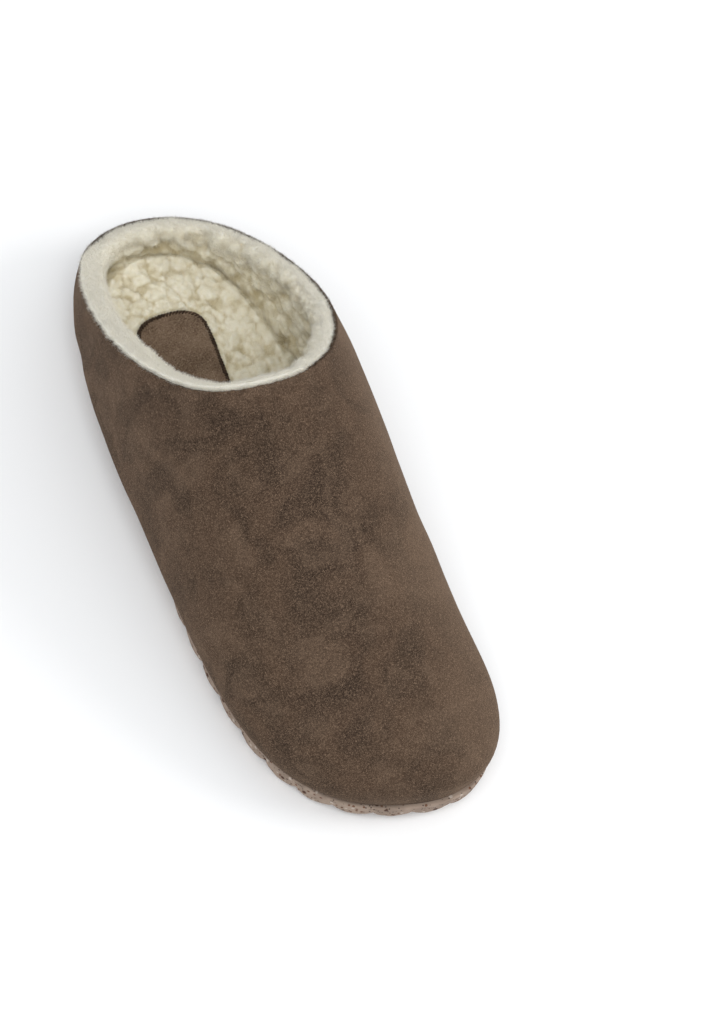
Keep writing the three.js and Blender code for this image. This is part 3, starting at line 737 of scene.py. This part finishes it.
suede = material("suede_nap", suede_finish(srgb(48, 37, 29), srgb(73, 57, 45), srgb(112, 93, 77)))
pad_finish = suede_finish(srgb(88, 72, 58), srgb(112, 93, 77), srgb(140, 120, 101), cloud_scale=40.0)
pad_suede = material("pad_suede", pad_finish)
wool = material("shearling_wool", wool_finish)
fibre = material("wool_fibre", fibre_finish)
rubber = material("sole_rubber_chips", rubber_finish)
board = material("footbed_board", board_finish)
thread = material("edge_thread", thread_finish)
tuft = material("suede_tufts", tuft_finish)


def geometry_tree(name, sizes):
    """A tree with a geometry in and out and named sizes; gives the tree, its inputs and its end node."""
    group = bpy.data.node_groups.new(name, "GeometryNodeTree")
    face = group.interface
    face.new_socket("Geometry", in_out="INPUT", socket_type="NodeSocketGeometry")
    for key, value in sizes.items():
        kind = "NodeSocketInt" if isinstance(value, int) else "NodeSocketFloat"
        face.new_socket(key, in_out="INPUT", socket_type=kind).default_value = value
    face.new_socket("Geometry", in_out="OUTPUT", socket_type="NodeSocketGeometry")
    tree = Tree(group)
    source = group.nodes.new("NodeGroupInput")
    given = {socket.name: Value(tree, socket) for socket in source.outputs if socket.name}
    end = group.nodes.new("NodeGroupOutput")
    return tree, given, end


def random(tree, low, high, seed, kind="FLOAT"):
    """A random number for each point, or a vector where kind is FLOAT_VECTOR."""
    first, output = (0, 0) if kind == "FLOAT_VECTOR" else (2, 1)
    inputs = {first: low, first + 1: high, "Seed": seed}
    return tree.add("FunctionNodeRandomValue", {"data_type": kind}, inputs, output)


def turned(tree, rotation, turn):
    inputs = {"Rotation": rotation, "Rotate By": turn}
    return tree.add("FunctionNodeRotateRotation", {"rotation_space": "LOCAL"}, inputs)


def planted(tree, end, finish, inputs):
    """Instances on points as one mesh with its finish, led to the end of the tree."""
    solid = tree.add("GeometryNodeInstanceOnPoints", {}, inputs)
    solid = tree.add("GeometryNodeRealizeInstances", {}, {"Geometry": solid})
    solid = tree.add("GeometryNodeSetMaterial", {}, {"Geometry": solid, "Material": finish})
    tree.feed(end.inputs["Geometry"], solid)
    return tree.tree


def fibre_tree(name, finish, sizes, share):
    """Tapered hairs spread over a surface, as close as its attribute named by share says."""
    tree, given, end = geometry_tree(name, sizes)
    seed, tilt, length = given["Seed"], given["Tilt"], given["Hair length"]
    thick = tree.add("GeometryNodeInputNamedAttribute", {"data_type": "FLOAT"}, {"Name": share})
    density = thick * given["Hairs per square metre"]
    inputs = {"Mesh": given["Geometry"], "Density": density, "Seed": seed}
    spread = tree.add("GeometryNodeDistributePointsOnFaces", {}, inputs)
    upright = Value(tree, spread.socket.node.outputs["Rotation"])
    inputs = {"Vertices": 3, "Radius Top": 0.0, "Radius Bottom": given["Hair radius"], "Depth": length}
    hair = tree.add("GeometryNodeMeshCone", {"fill_type": "NGON"}, inputs)
    root = tree.vector(Z=length * -HAIR_SUNK)
    hair = tree.add("GeometryNodeTransform", {}, {"Geometry": hair, "Translation": root})
    low = tree.vector(X=tilt * -1, Y=tilt * -1, Z=-3.1416)
    high = tree.vector(X=tilt, Y=tilt, Z=3.1416)
    facing = turned(tree, upright, random(tree, low, high, seed, "FLOAT_VECTOR"))
    inputs = {"Points": spread, "Instance": hair, "Rotation": facing, "Scale": random(tree, 0.4, 1.3, 3)}
    return planted(tree, end, finish, inputs)


def stitch_tree(name, finish, sizes):
    """Slanted stitches in a row along a closed line of edges."""
    tree, given, end = geometry_tree(name, sizes)
    line = tree.add("GeometryNodeMeshToCurve", {}, {"Mesh": given["Geometry"]})
    inputs = {"Curve": line, "Length": given["Pitch"]}
    line = tree.add("GeometryNodeResampleCurve", {"mode": "LENGTH"}, inputs)
    inputs = {"Vector": tree.add("GeometryNodeInputTangent")}
    facing = tree.add("FunctionNodeAlignRotationToVector", {"axis": "X", "pivot_axis": "Z"}, inputs)
    facing = turned(tree, facing, tree.vector(Z=given["Slant"] + random(tree, -0.12, 0.12, 4)))
    ball = tree.add("GeometryNodeMeshUVSphere", {}, {"Segments": 8, "Rings": 6, "Radius": 1.0})
    thick = given["Thread radius"]
    half = tree.vector(X=given["Stitch length"] * 0.5, Y=thick, Z=thick)
    ball = tree.add("GeometryNodeTransform", {}, {"Geometry": ball, "Scale": half})
    inputs = {"Points": line, "Instance": ball, "Rotation": facing, "Scale": random(tree, 0.85, 1.15, 5)}
    return planted(tree, end, finish, inputs)


def values(items, key, size=1, kind=np.float32):
    """One property of all the items of a mesh."""
    found = np.empty(len(items) * size, kind)
    items.foreach_get(key, found)
    return found


def closeness(piece, share, wanted):
    """Hairs per square metre that give the wanted count where the piece's attribute spreads them."""
    mesh = piece.data
    points = values(mesh.vertices, "co", 3).reshape(-1, 3).astype(float)
    weight = values(mesh.attributes[share].data, "value")
    faces = values(mesh.loops, "vertex_index", kind=np.int32).reshape(-1, 3)
    a, b, c = (points[faces[:, k]] for k in range(3))
    area = norms(np.cross(b - a, c - a)) / 2
    return float(wanted / (area * weight[faces].mean(1)).sum())


def grown(name, mesh, group, sizes):
    """A new object from a Geometry Nodes tree run on a copy of a mesh."""
    holder = linked(name, mesh.copy())
    modifier = holder.modifiers.new("grow", "NODES")
    modifier.node_group = group
    for item in group.interface.items_tree:
        if item.item_type == "SOCKET" and item.in_out == "INPUT" and item.name in sizes:
            modifier[item.identifier] = sizes[item.name]
    bpy.context.view_layer.update()
    evaluated = holder.evaluated_get(bpy.context.evaluated_depsgraph_get())
    mesh = bpy.data.meshes.new_from_object(evaluated)
    mesh.name = name
    holder.modifiers.clear()
    holder.data = mesh
    mesh.shade_smooth()
    return holder


def dressed(piece, finish, slot, *nodes):
    """Gives a piece its finish, if one is given, hangs it under the root body and hides the model's parts
    that it stands in for.
    """
    if finish is not None:
        piece.data.materials.clear()
        piece.data.materials.append(finish)
    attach(piece, "root")
    if nodes:
        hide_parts(*nodes)
    return piece


fine = Columns(spine_steps=150, toe_steps=110, heel_steps=84)
skin = Skin(fine, side_rows=10, top_rows=64)
ROWS = skin.last + 1


# Creases are soft troughs on the upper: two ends in plan, as shares of BALL_WIDTH and LENGTH, width, depth.
CREASES = [
    ((-0.5, 0.1), (-0.36, 0.22), 5.0, 0.7),
    ((-0.5, 0.585), (-0.18, 0.62), 9.0, 0.55),
    ((0.5, 0.6), (0.2, 0.655), 9.0, 0.5),
    ((-0.12, 0.52), (0.16, 0.535), 8.0, 0.35),
    ((0.46, 0.19), (0.42, 0.31), 7.0, 0.5),
    ((-0.44, 0.78), (-0.26, 0.9), 10.0, 0.45),
]


def crease_depth(p):
    total = np.zeros(len(p))
    for start, stop, width, depth in CREASES:
        a = np.array(start) * (BALL_WIDTH, LENGTH)
        b = np.array(stop) * (BALL_WIDTH, LENGTH)
        run = b - a
        t = np.clip(((p[:, :2] - a) @ run) / (run @ run), 0, 1)
        off = norms(p[:, :2] - a - t[:, None] * run)
        taper = np.sin(np.pi * np.clip(t, 0.04, 0.96)) ** 0.5
        trough = np.exp(-((off / width) ** 2))
        shoulder = np.exp(-(((off - 1.6 * width) / width) ** 2))
        total += depth * taper * (trough - 0.45 * shoulder)
    return total


def make_upper():
    half = slice(None, None, 2)
    outer = skin.points[:, half].copy()
    normals = skin.normals[:, half]
    flat = outer.reshape(-1, 3)
    wave = ripples(flat, (0.35, 34.0, 3), (0.18, 13.0, 9)) - crease_depth(flat)
    fade = ease(np.arange(ROWS), 1, 6)[:, None] * ease(np.arange(ROWS)[::-1], 0, 5)[:, None]
    outer += normals * (wave.reshape(outer.shape[:2]) * fade)[..., None]
    top = skin.points[skin.last, half]
    up = unit(top - skin.points[skin.last - 1, half])
    ragged = ripples(top, (0.35, 2.2, 21), (0.3, 0.9, 22))
    edge_rows = []
    for turn in np.radians([20, 60, 90, 120, 160]):
        depth = SUEDE_WALL * (1 - math.cos(turn)) / 2
        rise = (0.35 + ragged) * math.sin(turn)
        edge_rows.append(top - normals[-1] * depth + up * rise[:, None])
    inner_rows = list(range(skin.last, 1, -6)) + [1, 0]
    inner = [skin.inward(row, SUEDE_WALL)[half] for row in inner_rows]
    rows = place(np.concatenate([outer, edge_rows, inner]))
    cut = np.zeros(rows.shape[:2])
    facing = fine.normal[half] @ FRONT_OUTER
    cut[ROWS : ROWS + len(edge_rows)] = 1 - 0.9 * ease(facing, -0.35, 0.3)
    # Painted light: the suede gets lighter towards the medial side, with a wavering border.
    drift = ripples(rows.reshape(-1, 3), (0.25, 30.0, 17)).reshape(cut.shape)
    across = rows[..., 0] / (BALL_WIDTH / 2) - drift
    extra = {"cut": cut, "painted_medial_light": ease(across, 0.2, 0.85)}
    return mesh_object("suede_upper", *grid_mesh(rows, True, extra))


def lumps(p, seed):
    """Curls of wool: height from 0 in a crevice to 1, and how deep in a crevice a point is, which the wool's
    colour takes as painted shade.
    """
    warped = p + 2.0 * clouds(p, 9.0, seed) + 1.1 * clouds(p, 3.4, seed + 40)
    near, second = cells(warped, CURL, seed)
    big = 1 - np.clip(near, 0, 1) ** 2
    between = (1 - ease(second - near, 0.0, 0.3)) * ease(near, 0.25, 0.7)
    near, second = cells(warped + 50, SMALL_CURL, seed + 7)
    small = 1 - np.clip(near, 0, 1) ** 2
    creases = (1 - ease(second - near, 0.0, 0.35)) * ease(near, 0.25, 0.7)
    drift = 0.5 + 0.5 * cloud(p, 17.0, seed + 60)
    fluff = 0.5 + 0.5 * cloud(p, 1.8, seed + 80)
    height = 0.46 * big + 0.26 * small + 0.16 * drift + 0.12 * fluff
    return height, np.clip(0.4 * between + 0.25 * creases + 0.45 * (0.6 - drift), 0, 1)


def under_collar(points):
    """Which points the collar's opening shows, from the heel to a little past the throat."""
    return points[:, 1] > LENGTH / 2 - 1.08 * THROAT


def make_lining():
    rows = [skin.inward(row, SHELL_DEPTH) for row in list(range(1, ROWS, 7)) + [skin.last]]
    behind = len(rows)
    turns = np.radians(np.arange(8, 180, 7.5))
    facing = fine.normal @ FRONT_OUTER
    over = 0.1 + 2.5 * ease(facing, -0.35, 0.35) + ripples(skin.points[skin.last], (0.35, 2.6, 33))
    far = 1 - ease(facing, -0.5, 0.3)
    rows += [skin.roll(turn, over) for turn in turns]
    first = len(rows)
    rows += [skin.fleece(row) for row in range(skin.last, 0, -1)]
    plan_rows = np.array(rows)
    points = place(plan_rows)
    shape = points.shape[:2]
    inside = points[first - 1 :].reshape(-1, 3)
    steps = np.linalg.norm(np.diff(points[first - 1 :], axis=0), axis=2)
    down = np.concatenate([np.zeros((1, fine.count)), np.cumsum(steps, axis=0)])
    wander = ripples(inside, (2.0, 8.0, 31), (0.9, 2.4, 32)).reshape(down.shape)
    amount = np.zeros(shape)
    rolled = points[behind:first].reshape(-1, 3)
    wavy = ripples(rolled, (0.16, 6.5, 34)).reshape(len(turns), fine.count)
    amount[behind:first] = np.clip((0.22 + 0.68 * far + wavy) * ease(turns, 0.7, 2.0)[:, None], 0, 1)
    amount[first - 1 :] = amount[first - 1] + (1 - amount[first - 1]) * ease(down + wander, 0.0, 7.0)
    amount[-4:] *= np.linspace(0.8, 0, 4)[:, None]
    shorn = np.ones(shape)
    shorn[behind:first] = 1 - (0.2 + 0.45 * far + wavy) * ease(turns, 1.2, 2.9)[:, None]
    shorn[first - 1 :] = shorn[first - 1] * (1 - ease(down + wander, 0.0, 9.0))
    front = np.zeros(shape)
    front[behind:] = 1
    rim = np.zeros(shape)
    rim[behind - 1 : first] = 1
    rim[first:] = shorn[first:] * 0.6
    loose = np.zeros(shape)
    loose[behind:first] = ease(turns, 0.9, 2.4)[:, None] * (0.3 + 0.7 * far)
    loose[first:] = (0.3 + 0.7 * far) * (1 - ease(down[1:], 8.0, 20.0))
    low = plan_rows[..., 2] - (FOOT_RISE + SOCK_DEPTH + SOCK_CREST)
    extra = {"amount": amount, "shorn": shorn, "front": front, "rim": rim, "low": low, "loose": loose}
    flat, faces, extra = grid_mesh(points, True, extra)
    normals = vertex_normals(flat, faces)
    height, hollow_shade = lumps(flat, 1)
    grow = extra["amount"]
    fuzz = ripples(flat, (0.45, 2.2, 12), (0.6, 5.0, 13))
    offset = grow * (height * LINING_CURL_RISE - LINING_CURL_SUNK) + (1 - grow) * fuzz * 0.8
    offset += ripples(flat, (2.0, 10.0, 14), (1.5, 5.0, 15)) * extra["loose"]
    flat = flat + normals * (offset * extra["front"])[:, None]
    # Painted shade: the hollows between curls, and the lining's foot where it meets the footbed, are darker.
    foot = 1 - ease(extra["low"], 0.0, 7.0)
    open_part = under_collar(flat)
    seen = extra["front"] * open_part * ease(extra["low"], -2.0, 1.0)
    extra = {
        "shorn": extra["shorn"],
        "hollow_shade": np.clip(hollow_shade * grow + 0.25 * foot * grow, 0, 1),
        "curls": seen * (1 - 0.7 * extra["rim"]),
        "rim": extra["rim"] * open_part,
    }
    return mesh_object("shearling_lining", flat, faces, extra)


def sock_rise(out):
    """Height of the footbed's wool: a dish with a raised edge that rounds off against the lining."""
    t = np.clip((np.minimum(out, 0.86) - SOCK_FLAT) / (1 - SOCK_FLAT), 0, 1)
    return FOOT_RISE + SOCK_DEPTH - SOCK_DISH + (SOCK_DISH + SOCK_CREST) * t * t - 3.0 * ease(out, 0.84, 1.0)


def pad_distance(p):
    """Roughly how far plan points lie outside the heel pad, in millimetres; negative inside."""
    y = p[:, 1] - PAD_FROM_HEEL
    half = PAD_WIDTH / 2 * (1 - (1 - PAD_FRONT) * np.clip(y / PAD_LENGTH, 0, 1))
    x = np.abs(p[:, 0] - PAD_SIDE) / half
    back = np.clip((PAD_ROUND - y) / PAD_ROUND, 0, 3)
    round_end = ((x**PAD_SQUARE + back**PAD_SQUARE) ** (1 / PAD_SQUARE) - 1) * PAD_ROUND
    front = y - PAD_LENGTH
    return np.maximum(np.where(y < PAD_ROUND, round_end, (x - 1) * half), front)


def sock_edge(rise, inset):
    """Points on the fleece's inside at a rise above the outsole, for every column."""
    levels = np.array([skin.fleece(row) for row in range(1, skin.bulge_row + 20)])
    z = levels[..., 2]
    i = np.clip((z < rise).sum(0) - 1, 0, len(z) - 2)
    c = np.arange(fine.count)
    low, high = levels[i, c], levels[i + 1, c]
    t = np.clip((rise - low[:, 2]) / (high[:, 2] - low[:, 2]), 0, 1)[:, None]
    p = low + (high - low) * t
    p[:, :2] -= fine.normal * inset
    p[:, 2] = rise
    return p


def make_sock():
    foot_points = raised(fine.foot, 0)
    under = sock_edge(FOOT_RISE, GAP)
    rows = [raised(fine.foot, FOOT_RISE), under]
    rows += [sock_edge(rise, GAP) for rise in np.linspace(FOOT_RISE + 1, sock_rise(1.0) - 0.4, 3)]
    crest = sock_edge(FOOT_RISE + SOCK_DEPTH + SOCK_CREST, 2 * GAP)
    first = len(rows)
    shares = np.linspace(0, 1, SOCK_ROWS) ** SOCK_ROW_POWER
    for share in shares:
        p = crest * (1 - share) + foot_points * share
        p[:, 2] = sock_rise(1 - share)
        rows.append(p)
    plan_rows = np.array(rows)
    points = place(plan_rows)
    shape = points.shape[:2]
    amount = np.zeros(shape)
    amount[first:] = 1
    amount[first - 2 : first] = 0.6
    off = pad_distance(plan_rows.reshape(-1, 3)).reshape(shape)
    amount *= ease(off, -0.9, 1.0)
    out = np.ones(shape)
    out[first:] = (1 - shares)[:, None]
    flat, faces, extra = grid_mesh(points, False, {"amount": amount, "off": off, "out": out})
    height, hollow_shade = lumps(flat + 300, 5)
    grow = extra["amount"]
    flat[:, 2] += grow * (height * SOCK_CURL_RISE - SOCK_CURL_SUNK)
    # Painted shade: darker in the hollows between curls, beside the heel pad and in the crease where the
    # wool meets the lining.
    beside = 1 - ease(extra["off"], 0.0, 2.0)
    crease = ease(extra["out"], 0.88, 1.0)
    shade = np.clip(hollow_shade * grow + 0.3 * beside + 0.3 * crease, 0, 1)
    extra = {"shorn": 0 * shade, "hollow_shade": shade, "curls": grow * under_collar(flat)}
    return mesh_object("shearling_sock", flat, faces, extra)


def make_outsole():
    columns = Columns(spine_steps=190, toe_steps=150, heel_steps=110)
    base = columns.rim - columns.normal * (tuck_at(columns.rim[:, 1]) - proud_at(columns.rim[:, 1]))[:, None]
    run = np.r_[0, np.cumsum(norms(np.roll(base, -1, 0) - base))]
    pitch = run[-1] / round(run[-1] / LUG_PITCH)
    phase = run[:-1] / pitch % 1
    off = np.abs(phase - 0.5) * pitch  # millimetres from the middle of a notch
    scallop = SCALLOP_RISE * (1 - np.clip(2 * off / pitch, 0, 1)) ** 1.6
    notch = LUG_NOTCH * np.exp(-((off / NOTCH_WIDTH) ** 2))
    notch_rise = np.maximum(notch, scallop * 0.75) + 0.2 * scallop
    rows = []

    def ring(inset, rise):
        rows.append(raised(base - columns.normal * inset, rise))

    def cap(rise, shares, notched):
        start = base - columns.normal * SOLE_ROUND
        for share in shares:
            inset = share * norms(start - columns.foot)
            fade = np.clip(1 - inset / LUG_RUN, 0, 1) ** 1.2
            p = start * (1 - share) + columns.foot * share
            rows.append(raised(p, rise + notched * notch_rise * fade))

    low = -SOLE_THICKNESS
    shares = np.r_[np.linspace(1, 0.35, 12), np.linspace(0.3, 0, 16)]
    cap(low, shares, True)
    for turn in np.radians([20, 45, 70, 90]):
        inset = SOLE_ROUND * (1 - math.sin(turn))
        ring(inset, low + SOLE_ROUND * (1 - math.cos(turn)) + notch_rise)
    for rise in np.linspace(0.4, 0.85, 5):
        ring(0, low * (1 - rise) + notch_rise * (1 - rise) ** 1.5)
    for turn in np.radians([0, 30, 60, 90]):
        ring(SOLE_ROUND * (1 - math.cos(turn)), -SOLE_ROUND * (1 - math.sin(turn)))
    cap(0, np.linspace(0.1, 1, 6), False)
    points, faces, _ = grid_mesh(place(np.array(rows)), False)
    normals = vertex_normals(points, faces)
    points = points + normals * ripples(points, (0.12, 3.0, 4), (0.06, 1.2, 5))[:, None]
    points[:, 2] = np.maximum(points[:, 2], 0)
    return mesh_object("rubber_outsole", points, faces)


def pad_outline(inset):
    """The pad's edge in plan, moved in."""
    half = PAD_WIDTH / 2 - inset
    turn = np.linspace(0, math.pi, 140)
    x = -np.sign(np.cos(turn)) * np.abs(np.cos(turn)) ** (2 / PAD_SQUARE) * half
    y = PAD_FROM_HEEL + inset + (PAD_ROUND - inset * 0.3) * (1 - np.sin(turn) ** (2 / PAD_SQUARE))
    side = np.linspace(0, 1, 90)[1:]
    ahead = PAD_FROM_HEEL + PAD_LENGTH - inset
    corner = PAD_CORNER - inset
    right = np.column_stack([half * (1 - (1 - PAD_FRONT) * side), y[-1] + (ahead - corner - y[-1]) * side])
    turn = np.linspace(0, math.pi / 2, 16)[1:, None]
    bend = corner * np.hstack([np.cos(turn), np.sin(turn)])
    right = np.concatenate([right, np.array([half * PAD_FRONT - corner, ahead - corner]) + bend])
    across = right[-1, 0] * np.linspace(1, -1, 26)[1:-1]
    front = np.column_stack([across, np.full(len(across), ahead)])
    left = right[::-1] * (-1, 1)
    return np.concatenate([np.column_stack([x, y]), right, front, left]) + (PAD_SIDE, 0)


PAD_BASE = FOOT_RISE + SOCK_DEPTH - SOCK_DISH + GAP

# The pad's section from its underside round its edge: inset, rise.
PAD_SECTION = [(0.9, 0.0), (0.25, 0.25), (0.0, 0.8), (0.1, 1.3), (0.5, 1.65), (1.0, 1.75), (1.6, 1.6)]
PAD_SECTION += [(2.1, 1.3), (2.8, 1.25), (4.0, 1.4)]


def make_pad():
    centre = PAD_FROM_HEEL + PAD_LENGTH / 2
    rows = []

    def spine(line):
        along = np.clip(line[:, 1], centre - PAD_SPINE, centre + PAD_SPINE)
        return np.column_stack([np.full(len(line), PAD_SIDE), along])

    for inset, rise in PAD_SECTION:
        line = pad_outline(inset)
        rows.append(raised(line, PAD_BASE + rise))
    inner = pad_outline(PAD_SECTION[-1][0])
    for share in np.linspace(0.08, 1, 22):
        p = inner * (1 - share) + spine(inner) * share
        crown = 1.4 + 0.5 * math.sin(math.pi / 2 * share)
        rows.append(raised(p, PAD_BASE + crown))
    closing = raised(spine(rows[0]), rows[0][:, 2])
    points, faces, _ = grid_mesh(place(np.array([closing] + rows)), False)
    normals = vertex_normals(points, faces)
    wave = ripples(points, (0.25, 9.0, 14), (0.12, 3.5, 15))
    points = points + normals * (wave * (normals[:, 2] > 0.3))[:, None]
    return mesh_object("suede_pad", points, faces, {"cut": np.zeros(len(points))})


def pad_edge_line():
    """The line that the pad's edge stitches follow, as a mesh of edges."""
    line = pad_outline(PAD_STITCH_INSET)
    line = line[norms(np.roll(line, -1, 0) - line) > 0.02]
    points = place(raised(line, PAD_BASE + 1.55)) * MM
    mesh = bpy.data.meshes.new("pad_edge_line")
    mesh.from_pydata([tuple(p) for p in points], [(i, (i + 1) % len(line)) for i in range(len(line))], [])
    return mesh


upper = dressed(make_upper(), suede, "suede", "upper")
lining = make_lining()
sock = make_sock()
dressed(make_outsole(), rubber, "sole_rubber", "outsole")
dressed(make_pad(), pad_suede, "suede", "heel_pad")

hair_sizes = {
    "Hairs per square metre": 700000.0,
    "Hair length": 0.0018,
    "Hair radius": 0.00006,
    "Tilt": 0.75,
    "Seed": 1,
}
curl_hairs = fibre_tree("curl_hairs", fibre, hair_sizes, "curls")
rim_hairs = fibre_tree("rim_hairs", fibre, hair_sizes, "rim")
edge_hairs = fibre_tree("edge_hairs", tuft, hair_sizes, "cut")
stitch_sizes = {"Pitch": 0.0015, "Stitch length": 0.0027, "Thread radius": 0.0006, "Slant": 0.75}
stitches = stitch_tree("edge_stitches", thread, stitch_sizes)


def with_hairs(name, source, group, share, wanted, slot, **changes):
    """Hairs over a piece; share names the attribute that spreads the wanted count of them."""
    sizes = {**hair_sizes, **{key.replace("_", " "): value for key, value in changes.items()}}
    sizes["Hairs per square metre"] = closeness(source, share, wanted)
    dressed(grown(name, source.data, group, sizes), None, slot)


with_hairs("lining_fibres", lining, curl_hairs, "curls", 38000, "shearling")
with_hairs("sock_fibres", sock, curl_hairs, "curls", 38000, "shearling", Seed=2)
thicker = {"Seed": 3, "Hair_length": 0.0022, "Hair_radius": 0.00007}
with_hairs("rim_fibres", lining, rim_hairs, "rim", 42000, "shearling", **thicker)
with_hairs("edge_fibres", upper, edge_hairs, "cut", 9000, "suede", Seed=4, Hair_length=0.0011)
dressed(grown("edge_stitches", pad_edge_line(), stitches, stitch_sizes), None, "suede")
dressed(lining, wool, "shearling", "lining")
dressed(sock, wool, "shearling", "insole_fleece")
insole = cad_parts["insole"]
insole.data.materials.clear()
insole.data.materials.append(board)


# Camera at the photograph's angle to the shoe.
AZIMUTH, ELEVATION, ROLL = -49.13, 58.26, 26.78
DISTANCE, FOCAL = 1420.63, 3306.36
MIDDLE_X, MIDDLE_Y = 255.4, 528.75
WIDE, HIGH = 716, 1024
SENSOR = 36.0
FIT_SHIFT = Vector((0, 0.5, 0))  # from the camera fit's frame to the drawing's
LIGHT_AIM = Vector((0, 0, 0.03))
FLOOR_REACH = 6000


def add_camera():
    a, e, r = (math.radians(value) for value in (AZIMUTH, ELEVATION, ROLL))
    back = Vector((math.sin(a) * math.cos(e), -math.cos(a) * math.cos(e), math.sin(e)))
    level = Vector((math.cos(a), math.sin(a), 0))
    upright = back.cross(level)
    right = level * math.cos(r) + upright * math.sin(r)
    up = upright * math.cos(r) - level * math.sin(r)
    spot = back * DISTANCE - right * (MIDDLE_X - WIDE / 2) * DISTANCE / FOCAL
    spot += up * (MIDDLE_Y - HIGH / 2) * DISTANCE / FOCAL + Vector(SHIFT) + FIT_SHIFT
    camera = linked("camera", bpy.data.cameras.new("camera"))
    camera.matrix_world = Matrix.Translation(spot * MM) @ Matrix((right, up, back)).transposed().to_4x4()
    camera.data.sensor_width = SENSOR
    camera.data.lens = FOCAL * SENSOR / HIGH
    camera.data.clip_start = 0.05
    bpy.context.scene.camera = camera


def add_light(name, place_at, size, power, colour=(1, 1, 1)):
    lamp = bpy.data.lights.new(name, "AREA")
    lamp.shape = "DISK"
    lamp.size = size
    lamp.energy = power
    lamp.color = colour
    made = linked(name, lamp)
    made.location = place_at
    made.rotation_mode = "QUATERNION"
    made.rotation_quaternion = (LIGHT_AIM - Vector(place_at)).to_track_quat("-Z", "Y")


def add_floor():
    points = np.array([[-1, -1, 0], [1, -1, 0], [1, 1, 0], [-1, 1, 0]], float) * FLOOR_REACH
    floor = mesh_object("floor", points, np.array([[0, 1, 2], [0, 2, 3]]))

    def build(tree):
        shade = tree.noise(3.0)
        colour = tree.mix(shade, (0.95, 0.955, 0.96), (0.97, 0.975, 0.98))
        return {"Base Color": colour, "Roughness": 0.9, "Specular IOR Level": 0.1}

    floor.data.materials.append(material("pale_floor", build))


add_camera()
add_floor()
world = bpy.data.worlds.new("studio")
world.use_nodes = True
background = world.node_tree.nodes["Background"].inputs
background["Color"].default_value = (0.97, 0.985, 1, 1)
background["Strength"].default_value = 0.78
bpy.context.scene.world = world
bpy.context.scene.view_settings.view_transform = "Standard"
add_light("side_light", (1.45, -0.6, 0.95), size=0.9, power=10.0, colour=(1, 0.985, 0.965))
add_light("front_light", (-0.55, -0.5, 1.4), size=1.1, power=8.5)
